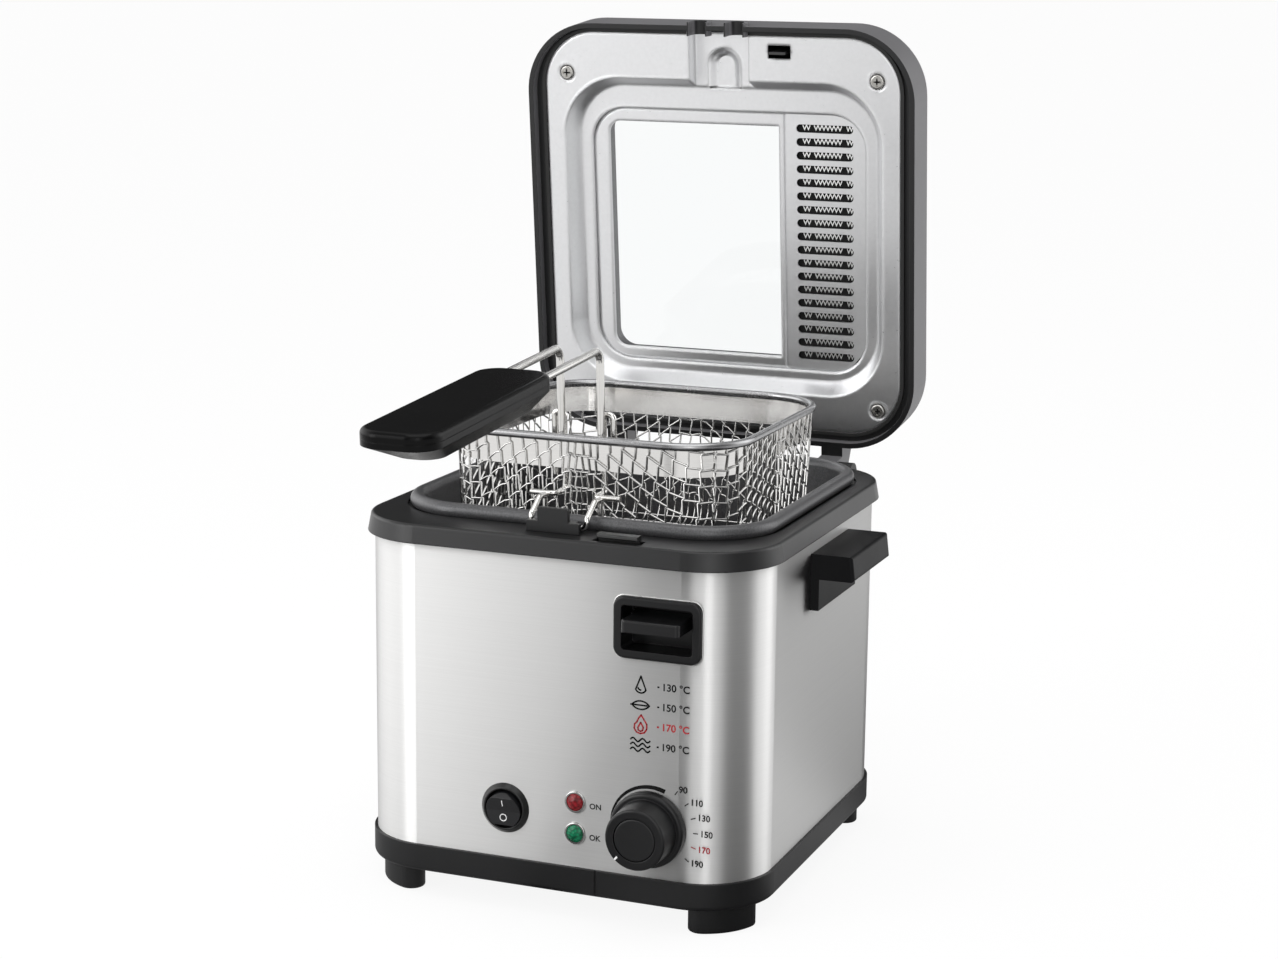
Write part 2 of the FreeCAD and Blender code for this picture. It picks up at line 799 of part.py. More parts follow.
def switch_housing():
    """Round switch case: sloped bezel ring, well for the rocker and two blades behind."""
    inward = Vector(0, 1, 0)
    face_y = front_y - switch_bezel_rise
    well_diameter = rocker_diameter + 2 * rocker_gap
    bezel = Part.makeCone(well_diameter / 2.0 + 0.7, switch_bezel_diameter / 2.0, switch_bezel_rise,
                          Vector(switch_x, face_y, control_row_z), inward)
    body = rod(switch_body_diameter(), switch_body_depth, Vector(switch_x, front_y, control_row_z), inward)
    whole = fused([bezel, body])
    whole = whole.cut(rod(well_diameter, switch_well_depth, Vector(switch_x, face_y, control_row_z), inward))
    back = front_y + switch_body_depth
    for sign in (-1, 1):
        blade_z = control_row_z + sign * 4.5
        whole = whole.fuse(block(switch_x - 3.1, switch_x + 3.1, back - 1.0, back + 7.0, blade_z - 0.4, blade_z + 0.4))
    hole_length = switch_body_diameter() - 0.8
    axle_hole = rod(rocker_axle_diameter + 2 * running_gap, hole_length,
                    Vector(switch_x - hole_length / 2, rocker_axis_y(), control_row_z), Vector(1, 0, 0))
    return whole.removeSplitter().cut(axle_hole)


def switch_rocker():
    """Rocker whose two flats meet in a shallow valley, tilted so that its lower half is pressed in."""
    axis = Vector(switch_x, rocker_axis_y(), control_row_z)
    along = Vector(1, 0, 0)
    far = 30.0
    valley = (rocker_axis_depth + switch_bezel_rise + rocker_proud) / math.cos(math.radians(rocker_tilt))
    body = rod(rocker_diameter, valley + 5.0, Vector(switch_x, axis.y - valley - 3.8, control_row_z), Vector(0, 1, 0))
    swing = rocker_diameter / 2.0 + rocker_gap / 2.0
    body = body.common(rod(2 * swing, 2 * far, axis - along * far, along))
    for sign in (-1, 1):
        front = block(switch_x - far, switch_x + far, axis.y - valley - far, axis.y - valley,
                      control_row_z - (far if sign < 0 else 0.0), control_row_z + (far if sign > 0 else 0.0))
        front.rotate(Vector(switch_x, axis.y - valley, control_row_z), along, sign * rocker_tilt)
        body = body.cut(front)
    reach = switch_body_diameter() - 1.2
    axle = rod(rocker_axle_diameter, reach, axis - along * (reach / 2.0), along)
    rocker = fused([body, axle])
    rocker.rotate(axis, along, rocker_tilt)
    return rocker


def lamp_lens(z):
    inward = Vector(0, 1, 0)
    dome_rise = 1.8
    radius = lamp_lens_diameter / 2.0 - slip_gap
    ball_radius = (radius * radius + dome_rise * dome_rise) / (2 * dome_rise)
    ball = Part.makeSphere(ball_radius, Vector(lamp_x, front_y - dome_rise + ball_radius - 0.4, z))
    column = rod(2 * radius, lamp_body_length + 6.0, Vector(lamp_x, front_y - 6.0, z), inward)
    front_half = block(lamp_x - 20, lamp_x + 20, front_y - 20, front_y + 1.0, z - 20, z + 20)
    dome = ball.common(column).common(front_half)
    stem = rod(2 * radius, lamp_body_length, Vector(lamp_x, front_y, z), inward)
    return fused([dome, stem])


def lamp_ring(z):
    outward = Vector(0, -1, 0)
    ring = rod(lamp_ring_diameter, 0.8, Vector(lamp_x, front_y, z), outward)
    ring = ring.makeFillet(0.5, edges_facing(ring, 1, front_y - 0.8))
    return ring.cut(rod(lamp_lens_diameter - 2 * slip_gap, 4.0, Vector(lamp_x, front_y + 1.0, z), outward))


def knob_back_y():
    return front_y - knob_stand_off


def control_knob():
    outward = Vector(0, -1, 0)
    start = Vector(knob_x, knob_back_y(), control_row_z)
    skirt = rod(knob_skirt_diameter, knob_skirt_length, start, outward)
    skirt = skirt.makeFillet(1.5, edges_facing(skirt, 1, knob_back_y() - knob_skirt_length))
    grip = Part.makeCone(knob_grip_diameter / 2.0, knob_grip_diameter / 2.0 - knob_grip_taper, knob_length,
                         start, outward)
    tip_y = knob_back_y() - knob_length
    grip = grip.makeFillet(1.2, edges_facing(grip, 1, tip_y))
    knob = fused([skirt, grip])
    knob = knob.cut(rod(knob_cap_diameter, knob_cap_depth, Vector(knob_x, tip_y, control_row_z), Vector(0, 1, 0)))
    knob = knob.cut(spindle_form(knob_length - knob_cap_depth - 2.5))
    mark = block(knob_x, knob_x + knob_grip_diameter, tip_y - 1.0, tip_y + 0.8,
                 control_row_z - knob_mark_width / 2, control_row_z + knob_mark_width / 2)
    mark = mark.cut(rod(knob_cap_diameter + 3.0, 4.0, Vector(knob_x, tip_y - 2.0, control_row_z), Vector(0, 1, 0)))
    mark.rotate(Vector(knob_x, 0, control_row_z), Vector(0, 1, 0), -knob_mark_angle)
    return knob.cut(mark)


def knob_cap():
    tip_y = knob_back_y() - knob_length
    cap = rod(knob_cap_diameter - 2 * slip_gap, knob_cap_depth, Vector(knob_x, tip_y, control_row_z), Vector(0, 1, 0))
    return cap.makeFillet(0.8, edges_facing(cap, 1, tip_y))


def spindle_form(reach):
    """D-shaped end of the thermostat spindle, from the knob's back outwards."""
    column = rod(spindle_diameter, reach, Vector(knob_x, knob_back_y(), control_row_z), Vector(0, -1, 0))
    flat_z = control_row_z + spindle_diameter / 2.0 - spindle_flat
    return column.cut(block(knob_x - 10, knob_x + 10, knob_back_y() - reach - 1, knob_back_y() + 1,
                            flat_z, flat_z + 10))


def thermostat_spindle():
    inner_end = front_y + housing_wall + 6.0
    stem = rod(spindle_diameter, inner_end - knob_back_y(), Vector(knob_x, knob_back_y(), control_row_z),
               Vector(0, 1, 0))
    return fused([stem, spindle_form(knob_length - knob_cap_depth - 2.5)])


def thermostat_body():
    y = front_y + housing_wall
    half = thermostat_size / 2.0
    body = block(knob_x - half, knob_x + half, y, y + thermostat_depth, control_row_z - half, control_row_z + half)
    body = body.makeFillet(2.0, [e for e in body.Edges if abs(e.tangentAt(e.FirstParameter).y) > 0.9])
    return body.cut(rod(spindle_diameter + 2 * running_gap, 6.2, Vector(knob_x, y, control_row_z), Vector(0, 1, 0)))


# Lid latch
def upright_slab(width, height, radius, y_low, y_high, x, z):
    """Prism along Y on a rounded outline that stands upright."""
    lying = slab(width, height, radius, 0.0, y_high - y_low, 0.0, 0.0)
    lying.rotate(Vector(0, 0, 0), Vector(1, 0, 0), 90)
    lying.translate(Vector(x, y_high, z))
    return lying


def latch_bezel():
    face = upright_slab(latch_width, latch_height, latch_corner_radius, front_y - latch_face, front_y, latch_x, latch_z)
    face = face.makeFillet(1.0, edges_facing(face, 1, front_y - latch_face))
    inner_width = latch_width - 2 * latch_border
    inner_height = latch_height - 2 * latch_border
    cup = upright_slab(inner_width + 2 * latch_pocket_wall - 2 * slip_gap,
                       inner_height + 2 * latch_pocket_wall - 2 * slip_gap, 2.5,
                       front_y, front_y + latch_pocket_depth + latch_pocket_wall, latch_x, latch_z)
    bezel = face.fuse(cup).removeSplitter()
    pocket = upright_slab(inner_width, inner_height, 1.6, front_y - latch_face - 1.0,
                          front_y + latch_pocket_depth, latch_x, latch_z)
    bezel = bezel.cut(pocket)
    return bezel.cut(lever_stem(2 * latch_side_gap, latch_travel + latch_side_gap, latch_side_gap))


def lever_levels():
    top = latch_z + latch_height / 2.0 - latch_border - lever_top_gap
    return top - lever_height, top


def latch_arm_y():
    """Front face of the latch arm, just behind the pocket's back wall."""
    return front_y + latch_pocket_depth + latch_pocket_wall + 2 * latch_side_gap


def lever_stem(extra_width=0.0, extra_low=0.0, extra_high=0.0):
    """Neck that carries the lever through the back of the latch pocket."""
    low, high = lever_levels()
    width = lever_stem_width + extra_width
    x = latch_x - latch_width / 2.0 + latch_border + 1.5 + lever_stem_width / 2.0
    return block(x - width / 2, x + width / 2, front_y + latch_pocket_depth - 6.0, latch_arm_y(),
                 low + 0.6 - extra_low, high - 0.6 + extra_high)


def latch_lever():
    """Finger lever that stands out of the pocket, with round front corners and a dished top."""
    low, high = lever_levels()
    y_front = front_y - latch_face - lever_reach
    y_back = front_y + latch_pocket_depth - 2 * latch_side_gap
    bar = block(latch_x - lever_width / 2, latch_x + lever_width / 2, y_front, y_back, low, high)
    corners = [e for e in bar.Edges if abs(e.tangentAt(e.FirstParameter).z) > 0.9
               and abs(e.CenterOfMass.y - y_front) < 0.01]
    bar = bar.makeFillet(2.0, corners)
    bar = bar.makeFillet(0.8, [e for e in level_edges(bar, high) if e.CenterOfMass.y < front_y - latch_face])
    return fused([bar, lever_stem()])


def latch_hook():
    """Sheet steel arm from the lever up to the flat claw in the collar's slot."""
    low, high = lever_levels()
    arm_y = latch_arm_y()
    left = hook_x - hook_width / 2.0
    right = hook_x + hook_width / 2.0
    stem_right = latch_x - latch_width / 2.0 + latch_border + 1.5 + lever_stem_width
    bend_z = housing_top_z - lip_height - 2 * latch_side_gap
    foot_z = low - 4.0
    head_front = hook_slot_y - hook_head_depth / 2.0
    head_back = hook_slot_y + hook_head_depth / 2.0
    head_top = collar_top_z + hook_rise
    plate = block(left, stem_right, arm_y, arm_y + hook_sheet, foot_z, high + 2.0)
    foot = block(left, right, arm_y, arm_y + spring_diameter + 2.0, foot_z, foot_z + hook_sheet)
    upright = block(left, right, arm_y, arm_y + hook_sheet, high, bend_z)
    bridge = block(left, right, head_back - hook_sheet, arm_y + hook_sheet, bend_z - hook_sheet, bend_z)
    riser = block(left, right, head_back - hook_sheet, head_back, bend_z - hook_sheet, head_top)
    claw = block(left, right, head_front, head_back, head_top - hook_sheet, head_top)
    hook = fused([plate, foot, upright, bridge, riser, claw])
    return hook.makeFillet(0.6, edges_facing(hook, 1, head_front))


def spring_points(edges, samples):
    points = []
    for edge in edges:
        span = edge.LastParameter - edge.FirstParameter
        for step in range(samples):
            points.append(edge.valueAt(edge.FirstParameter + span * step / samples))
    return points


def print_least_gap(name, edges, wire, radius):
    """Least clear distance between turns of a wound wire, measured on points along it."""
    points = spring_points(edges, 12)
    least = None
    for first in range(len(points)):
        travelled = 0.0
        for second in range(first + 1, len(points)):
            travelled += (points[second] - points[second - 1]).Length
            if travelled > 2.0 * radius:
                gap = (points[second] - points[first]).Length - wire
                least = gap if least is None else min(least, gap)
    print(name, "least gap to itself", round(least, 2), "mm")


def latch_spring():
    """Compression spring between its seat and the foot of the latch arm."""
    low, high = lever_levels()
    top = low - 4.0
    height = spring_pitch * spring_turns + spring_wire
    radius = (spring_diameter - spring_wire) / 2.0
    base = Vector(hook_x, latch_arm_y() + spring_diameter / 2.0 + 1.0, top - height + spring_wire / 2.0)
    edges = coil_edges(base, Vector(0, 0, 1), Vector(1, 0, 0), radius, spring_pitch, spring_turns)
    print_least_gap("latch_spring", edges, spring_wire, radius)
    return wire_along(Part.Wire(edges), spring_wire), base, height


def spring_seat(base, height):
    """Small bracket on the inside of the housing that the latch spring stands on."""
    top = base.z - spring_wire / 2.0
    shelf = block(base.x - 6.0, base.x + 6.0, front_y + housing_wall, base.y + 5.0, top - 2.0, top)
    ear = block(base.x - 6.0, base.x + 6.0, front_y + housing_wall, front_y + housing_wall + 2.0, top - 14.0, top)
    return fused([shelf, ear])


# Side handles
def side_handle():
    y_low = side_handle_y - side_handle_length / 2.0
    outer_x = side_x + side_handle_reach
    low = side_handle_top_z - side_handle_thickness
    plate_x = side_x + side_handle_plate
    plate_low = side_handle_top_z - side_handle_plate_height
    corners = [(side_x, side_handle_top_z), (outer_x - side_handle_draft, side_handle_top_z), (outer_x, low),
               (plate_x, low), (plate_x, plate_low), (side_x, plate_low)]
    section = Part.makePolygon([Vector(x, y_low, z) for x, z in corners + corners[:1]])
    grip = Part.Face(section).extrude(Vector(0, side_handle_length, 0))
    outer_edges = [edge for edge in grip.Edges if edge.CenterOfMass.x > outer_x - side_handle_draft - 0.01]
    grip = grip.makeFillet(side_handle_round, outer_edges)
    finger_room = block(plate_x + 2.6, outer_x - 4.0, y_low + 3.0, y_low + side_handle_length - 3.0,
                        low - 1.0, side_handle_top_z - 3.4)
    return grip.cut(finger_room)


# Lid
def lid_shell():
    outer = slab(lid_width, lid_depth, lid_corner_radius, lid_rim_z, lid_top_z, 0.0, lid_mid_y)
    outer = outer.makeFillet(lid_edge_round, level_edges(outer, lid_top_z))
    inner = slab(lid_width - 2 * lid_wall, lid_depth - 2 * lid_wall, lid_corner_radius - lid_wall,
                 lid_rim_z, lid_top_z - lid_wall, 0.0, lid_mid_y)
    inner = inner.makeFillet(lid_edge_round - lid_wall, level_edges(inner, lid_top_z - lid_wall))
    front = lid_back_y - lid_depth
    hoods = []
    notches = []
    for sign in (-1, 1):
        x = sign * channel_wire_x
        hood = rod(2 * (notch_radius + hood_wall), hood_length + 2 * lid_wall,
                   Vector(x, front - hood_length, lid_rim_z + notch_rise), Vector(0, 1, 0))
        hoods.append(hood.common(block(x - 20, x + 20, front - 10, front + 20, lid_rim_z, lid_rim_z + 20)))
        notches.append(rod(2 * notch_radius, hood_length + 2 * lid_wall + 6.0,
                           Vector(x, front - hood_length - 1.0, lid_rim_z + notch_rise), Vector(0, 1, 0)))
        notches.append(block(x - notch_radius, x + notch_radius, front - hood_length - 1.0, front + 2 * lid_wall + 4.0,
                             lid_rim_z - 2.0, lid_rim_z + notch_rise))
    shell = outer.cut(inner)
    ledge_z = plate_z + plate_sheet
    ledge = slab(lid_width - 2 * lid_wall, lid_depth - 2 * lid_wall, lid_corner_radius - lid_wall,
                 ledge_z, ledge_z + lid_ledge, 0.0, lid_mid_y)
    inside = lid_ledge_grip
    ledge = ledge.cut(slab(plate_width - 2 * inside, plate_depth - 2 * inside, plate_corner_radius - inside,
                           ledge_z - 1.0, ledge_z + lid_ledge + 1.0, 0.0, plate_mid_y))
    shell = shell.fuse(ledge)
    room = channel_width / 2.0 + plate_sheet + slip_gap
    shell = shell.cut(block(-room, room, front + lid_wall, front + lid_wall + 14.0,
                            plate_z, recess_z + plate_sheet + arch_depth + slip_gap))
    glass_top = step_z + plate_sheet + glass_thickness
    frame = window_opening(window_frame_margin + window_frame_wall, glass_top, lid_top_z - lid_wall / 2.0)
    shell = shell.fuse(frame)
    for hood in hoods:
        shell = shell.fuse(hood)
    for notch in notches:
        shell = shell.cut(notch)
    shell = shell.cut(window_opening(window_frame_margin, glass_top - 1.0, lid_top_z + 1.0))
    vent_y = (step_front_y + step_back_y) / 2.0
    for index in range(lid_vent_count):
        y = vent_y + (index - (lid_vent_count - 1) / 2.0) * lid_vent_pitch
        shell = shell.cut(slab(vent_slot_right_x - vent_slot_left_x, lid_vent_width, lid_vent_width / 2 - 0.01,
                               lid_top_z - 6.0, lid_top_z + 1.0, (vent_slot_left_x + vent_slot_right_x) / 2, y))
    for boss in lid_bosses():
        shell = shell.fuse(boss)
    for place in lid_screw_places():
        shell = shell.cut(rod(screw_dimple_diameter, screw_dimple_depth + plate_sheet, place, Vector(0, 0, 1)))
        shell = shell.cut(rod(screw_shank_diameter, screw_length + 2.0, place, Vector(0, 0, 1)))
    return shell.removeSplitter()


def lid_screw_places():
    return [Vector(sign * lid_screw_x, y, plate_z) for sign in (-1, 1) for y in (lid_screw_back_y, lid_screw_front_y)]


def lid_bosses():
    """Screw bosses inside the lid shell, from the plate up to the shell's roof."""
    low = plate_z + screw_dimple_depth + plate_sheet
    return [rod(screw_dimple_diameter, lid_top_z - lid_wall / 2 - low, Vector(p.x, p.y, low), Vector(0, 0, 1))
            for p in lid_screw_places()]


def window_opening(margin, z_low, z_high):
    """Prism over the window: round corners on its left, square ones beside the vent."""
    width = window_right_x - window_left_x + 2 * margin
    depth = window_back_y - window_front_y + 2 * margin
    middle_x = (window_left_x + window_right_x) / 2.0
    rounded = slab(width, depth, window_corner_radius + margin, z_low, z_high,
                   middle_x, (window_back_y + window_front_y) / 2.0)
    square = block(middle_x, window_right_x + margin, window_front_y - margin, window_back_y + margin, z_low, z_high)
    return fused([rounded, square])


def recess_outline(grow, slope, z):
    width = recess_width - 2 * slope + 2 * grow
    depth = recess_back_y - recess_front_y - 2 * slope + 2 * grow
    return rounded_outline(width, depth, recess_corner_radius - slope + grow, z, 0.0,
                           (recess_back_y + recess_front_y) / 2.0)


def plate_form(grow, lift):
    """Space under one skin of the pressed plate: flange level, sloped recess, step and channel."""
    low = plate_z - 1.0
    slope_rate = recess_slope / recess_depth
    start_slope = -slope_rate * (1.0 + lift)
    main = tapered(recess_outline(grow, start_slope, low), recess_outline(grow, recess_slope, recess_z + lift))
    step = slab(step_width + 2 * grow, step_back_y - step_front_y + 2 * grow, step_corner_radius + grow,
                low, step_z + lift, 0.0, (step_back_y + step_front_y) / 2.0)
    channel = block(-channel_width / 2 - grow, channel_width / 2 + grow, plate_front_y - 1.0, recess_front_y + 20.0,
                    low, plate_z + channel_depth + lift)
    arch_radius = arch_width / 2.0 + grow
    arch_top = recess_z + arch_depth + lift
    arch_y = plate_front_y + catch_hole_inset + arch_width / 2.0
    arch = rod(2 * arch_radius, arch_top - low, Vector(0, arch_y, low), Vector(0, 0, 1))
    pocket = block(-arch_radius, arch_radius, arch_y, arch_y - arch_width / 2.0 + arch_length + grow, low, arch_top)
    return fused([main, step, channel, arch, pocket])


def lid_plate():
    sheet_top = step_z + plate_sheet + 4.0
    blank = slab(plate_width, plate_depth, plate_corner_radius, plate_z, sheet_top, 0.0, plate_mid_y)
    skin = slab(plate_width, plate_depth, plate_corner_radius, plate_z, plate_z + plate_sheet, 0.0, plate_mid_y)
    upper = plate_form(plate_sheet, plate_sheet).common(blank)
    sheet = skin.fuse(upper)
    for place in lid_screw_places():
        sheet = sheet.fuse(rod(screw_dimple_diameter, screw_dimple_depth + plate_sheet, place, Vector(0, 0, 1)))
    sheet = sheet.cut(plate_form(0.0, 0.0))
    for place in lid_screw_places():
        sheet = sheet.cut(rod(screw_dimple_diameter - 2 * plate_sheet, screw_dimple_depth, place, Vector(0, 0, 1)))
        sheet = sheet.cut(rod(screw_shank_diameter, 10.0, place, Vector(0, 0, 1)))
    sheet = sheet.cut(window_opening(0.0, step_z - 1.0, step_z + 4.0))
    vent_right = vent_slot_right_x + 3.0
    vent_low = step_front_y + 5.0
    vent_high = step_back_y - 5.0
    sheet = sheet.cut(block(vent_left_x + 3.0, vent_right, vent_low, vent_high, step_z - 1.0, step_z + 4.0))
    hole_x = catch_hole_width / 2.0
    hole_y = catch_hole_depth / 2.0
    return sheet.cut(block(catch_hole_x - hole_x, catch_hole_x + hole_x, catch_hole_y - hole_y, catch_hole_y + hole_y,
                           plate_z - 1.0, plate_z + 3.0))


def lid_gasket():
    """Seal strip that fills the joint between the plate's edge and the lid shell."""
    inner_width = plate_width
    inner_depth = plate_depth
    ring = slab(inner_width + 2 * gasket_width, inner_depth + 2 * gasket_width, plate_corner_radius + gasket_width,
                plate_z + plate_sheet - gasket_height, plate_z + plate_sheet, 0.0, plate_mid_y)
    hole = slab(inner_width, inner_depth, plate_corner_radius, plate_z - 2.0, plate_z + 6.0, 0.0, plate_mid_y)
    ring = ring.cut(hole)
    front = plate_back_y - plate_depth
    gap = block(-channel_width / 2, channel_width / 2, front - 10.0, front + 10.0, plate_z - 5.0, plate_z + 5.0)
    return ring.cut(gap)


def window_glass():
    return window_opening(glass_overlap, step_z + plate_sheet, step_z + plate_sheet + glass_thickness)


def step_cover(x_low, x_high, edge_gap):
    """Sheet that lies in the plate's step between two values of X."""
    low = step_z - vent_sheet
    whole = slab(step_width - 2 * edge_gap, step_back_y - step_front_y - 2 * edge_gap, step_corner_radius - edge_gap,
                 low, step_z, 0.0, (step_back_y + step_front_y) / 2.0)
    return whole.common(block(x_low, x_high, step_front_y - 5.0, step_back_y + 5.0, low, step_z))


def window_trim():
    """Sheet round the window, up to the seam beside the vent grille."""
    sheet = step_cover(-step_width, vent_left_x - vent_seam_width, window_trim_edge_gap)
    return sheet.cut(window_opening(0.0, step_z - vent_sheet - 1.0, step_z + 1.0))


def vent_grille():
    plate = step_cover(vent_left_x, step_width, vent_edge_gap)
    middle_y = (step_front_y + step_back_y) / 2.0
    middle_x = (vent_slot_left_x + vent_slot_right_x) / 2.0
    slots = []
    for index in range(vent_slot_count):
        y = middle_y + (index - (vent_slot_count - 1) / 2.0) * vent_slot_pitch
        slots.append(slab(vent_slot_right_x - vent_slot_left_x, vent_slot_height, vent_slot_height / 2 - 0.01,
                          step_z - vent_sheet - 1.0, step_z + 1.0, middle_x, y))
    return plate.cut(Part.makeCompound(slots))


def filter_pad():
    """Grease filter behind the vent grille."""
    low = step_z + plate_sheet
    depth = step_back_y - step_front_y - 2 * filter_border
    width = vent_slot_right_x - vent_slot_left_x + 2 * filter_border
    x = (vent_slot_left_x + vent_slot_right_x) / 2.0
    y = (step_back_y + step_front_y) / 2.0
    return slab(width, depth, 3.0, low, low + filter_thickness, x, y)


def lid_screws():
    screws = []
    for place in lid_screw_places():
        base = place + Vector(0, 0, screw_dimple_depth)
        head = rod(screw_head_diameter, screw_head_height, base, Vector(0, 0, -1))
        head = head.makeFillet(0.9, level_edges(head, base.z - screw_head_height))
        for long_x, long_y in ((screw_cross_length, screw_cross_width), (screw_cross_width, screw_cross_length)):
            face_z = base.z - screw_head_height
            head = head.cut(block(base.x - long_x / 2, base.x + long_x / 2, base.y - long_y / 2, base.y + long_y / 2,
                                  face_z - 1.0, face_z + screw_cross_depth))
        shank = rod(screw_shank_diameter, screw_length, base, Vector(0, 0, 1))
        screws.append(fused([head, shank]))
    return screws


def lid_catch():
    """Steel tongue from the lid's roof down through the catch hole, with a bent foot on the roof."""
    x_low = catch_hole_x - catch_tongue_width / 2.0
    x_high = catch_hole_x + catch_tongue_width / 2.0
    front = catch_hole_y - catch_tongue_sheet / 2.0
    roof = lid_top_z - lid_wall
    leg = block(x_low, x_high, front, front + catch_tongue_sheet, plate_z - catch_tongue_drop, roof)
    foot = block(x_low, x_high, front, front + catch_foot, roof - catch_tongue_sheet, roof)
    return fused([leg, foot])


# Hinge
def hinge_arm(side):
    """Arm of the lid shell that carries the hinge eye."""
    x_low = side * hinge_arm_x - hinge_arm_width / 2.0
    along = Vector(1, 0, 0)
    eye = rod(hinge_barrel_diameter, hinge_arm_width, Vector(x_low, hinge_y, hinge_z), along)
    radius = hinge_barrel_diameter / 2.0
    wall_y = lid_back_y
    profile = Part.makePolygon([Vector(x_low, hinge_y - radius, hinge_z), Vector(x_low, hinge_y + radius, hinge_z),
                                Vector(x_low, hinge_y + radius, lid_rim_z + 6.0),
                                Vector(x_low, wall_y, lid_rim_z + 18.0), Vector(x_low, wall_y, lid_rim_z),
                                Vector(x_low, hinge_y - radius, lid_rim_z), Vector(x_low, hinge_y - radius, hinge_z)])
    web = Part.Face(profile).extrude(Vector(hinge_arm_width, 0, 0))
    arm = fused([eye, web])
    return arm.cut(rod(hinge_pin_diameter + 2 * running_gap, hinge_arm_width + 2.0,
                       Vector(x_low - 1.0, hinge_y, hinge_z), along))


def hinge_lug(x_low, x_high):
    """Fixed hinge eye with its web to the mounting plate on the back of the housing."""
    along = Vector(1, 0, 0)
    radius = hinge_barrel_diameter / 2.0
    plate_face = back_y + hinge_plate_thickness
    eye = rod(hinge_barrel_diameter, x_high - x_low, Vector(x_low, hinge_y, hinge_z), along)
    profile = Part.makePolygon([Vector(x_low, hinge_y, hinge_z - radius), Vector(x_low, hinge_y, hinge_z),
                                Vector(x_low, plate_face, hinge_z - 1.5),
                                Vector(x_low, plate_face, hinge_z - hinge_plate_height + 6.0),
                                Vector(x_low, hinge_y, hinge_z - radius)])
    web = Part.Face(profile).extrude(Vector(x_high - x_low, 0, 0))
    return fused([eye, web])


def hinge_lug_spans():
    inner = hinge_arm_x + hinge_arm_width / 2.0 + hinge_side_gap
    outer = inner + hinge_lug_width
    return [(-outer, -inner), (-hinge_barrel_half, hinge_barrel_half), (inner, outer)]


def hinge_bracket():
    spans = hinge_lug_spans()
    half = spans[-1][1]
    top = housing_top_z - 0.5
    plate = block(-half, half, back_y, back_y + hinge_plate_thickness, hinge_z - hinge_plate_height, top)
    bracket = fused([plate] + [hinge_lug(low, high) for low, high in spans])
    return bracket.cut(rod(hinge_pin_diameter, 2 * half + 2.0, Vector(-half - 1.0, hinge_y, hinge_z), Vector(1, 0, 0)))


def hinge_pin():
    half = hinge_lug_spans()[-1][1] + 1.5
    return rod(hinge_pin_diameter, 2 * half, Vector(-half, hinge_y, hinge_z), Vector(1, 0, 0))


def hinge_spring():
    """Torsion spring on the pin beside the fixed barrel, with a leg against the bracket."""
    radius = (hinge_spring_diameter - hinge_spring_wire) / 2.0
    start_x = hinge_barrel_half + hinge_spring_wire / 2.0 + hinge_spring_clearance
    leg_length = hinge_y - back_y - hinge_plate_thickness - hinge_spring_leg_gap
    base = Vector(start_x, hinge_y, hinge_z)
    edges = coil_edges(base, Vector(1, 0, 0), Vector(0, 0, -1), radius, hinge_spring_pitch, hinge_spring_turns)
    first = edges[0].valueAt(edges[0].FirstParameter)
    heading = edges[0].tangentAt(edges[0].FirstParameter)
    leg = Part.makeLine(first - heading * leg_length, first)
    print_least_gap("hinge_spring", edges, hinge_spring_wire, radius)
    return wire_along(Part.Wire([leg] + edges), hinge_spring_wire)


def hinge_screws():
    heads = []
    z = hinge_z - hinge_plate_height + 5.0
    for side in (-1, 1):
        for row in (0, 1):
            place = Vector(side * hinge_screw_x, back_y + hinge_plate_thickness, z + row * hinge_screw_spacing_z)
            head = rod(screw_head_diameter, screw_head_height, place, Vector(0, 1, 0))
            head = head.makeFillet(0.8, edges_facing(head, 1, place.y + screw_head_height))
            heads.append(head)
    return Part.makeCompound(heads)


# Basket
def basket_outline(inset, z):
    return rounded_outline(basket_width - 2 * inset, basket_depth - 2 * inset, basket_corner_radius - inset, z,
                           0.0, basket_mid_y)


def basket_rim():
    return wire_along(basket_outline(basket_rim_wire / 2.0, basket_rim_z), basket_rim_wire)


def mesh_inset():
    return basket_rim_wire / 2.0 - basket_mesh_wall / 2.0


def basket_mesh():
    """Wire cloth basket: a thin wall with a net of six-sided gaps all round and in its floor."""
    top = basket_rim_z - basket_rim_wire / 2.0
    outer = tapered(basket_outline(mesh_inset() + basket_taper, basket_bottom_z), basket_outline(mesh_inset(), top))
    outer = outer.makeFillet(basket_bottom_round, level_edges(outer, basket_bottom_z))
    wall = basket_mesh_wall
    inner = tapered(basket_outline(mesh_inset() + basket_taper + wall, basket_bottom_z + wall),
                    basket_outline(mesh_inset() + wall, top))
    inner = inner.makeFillet(basket_bottom_round - wall, level_edges(inner, basket_bottom_z + wall))
    cloth = outer.cut(inner)
    return cloth.cut(Part.makeCompound(side_gaps(top) + floor_gaps())).cut(Part.makeCompound(hanger_passages()))


def six_sided(centre, width, straight, tip, side_direction, up_direction):
    """Face with two upright sides and a point above and below."""
    corners = [(0.5, 0.5, 0), (0, 0.5, 1), (-0.5, 0.5, 0), (-0.5, -0.5, 0), (0, -0.5, -1), (0.5, -0.5, 0)]
    points = []
    for across, along, point in corners + corners[:1]:
        rise = along * straight + point * tip
        points.append(centre + side_direction * (across * width) + up_direction * rise)
    return Part.Face(Part.makePolygon(points))


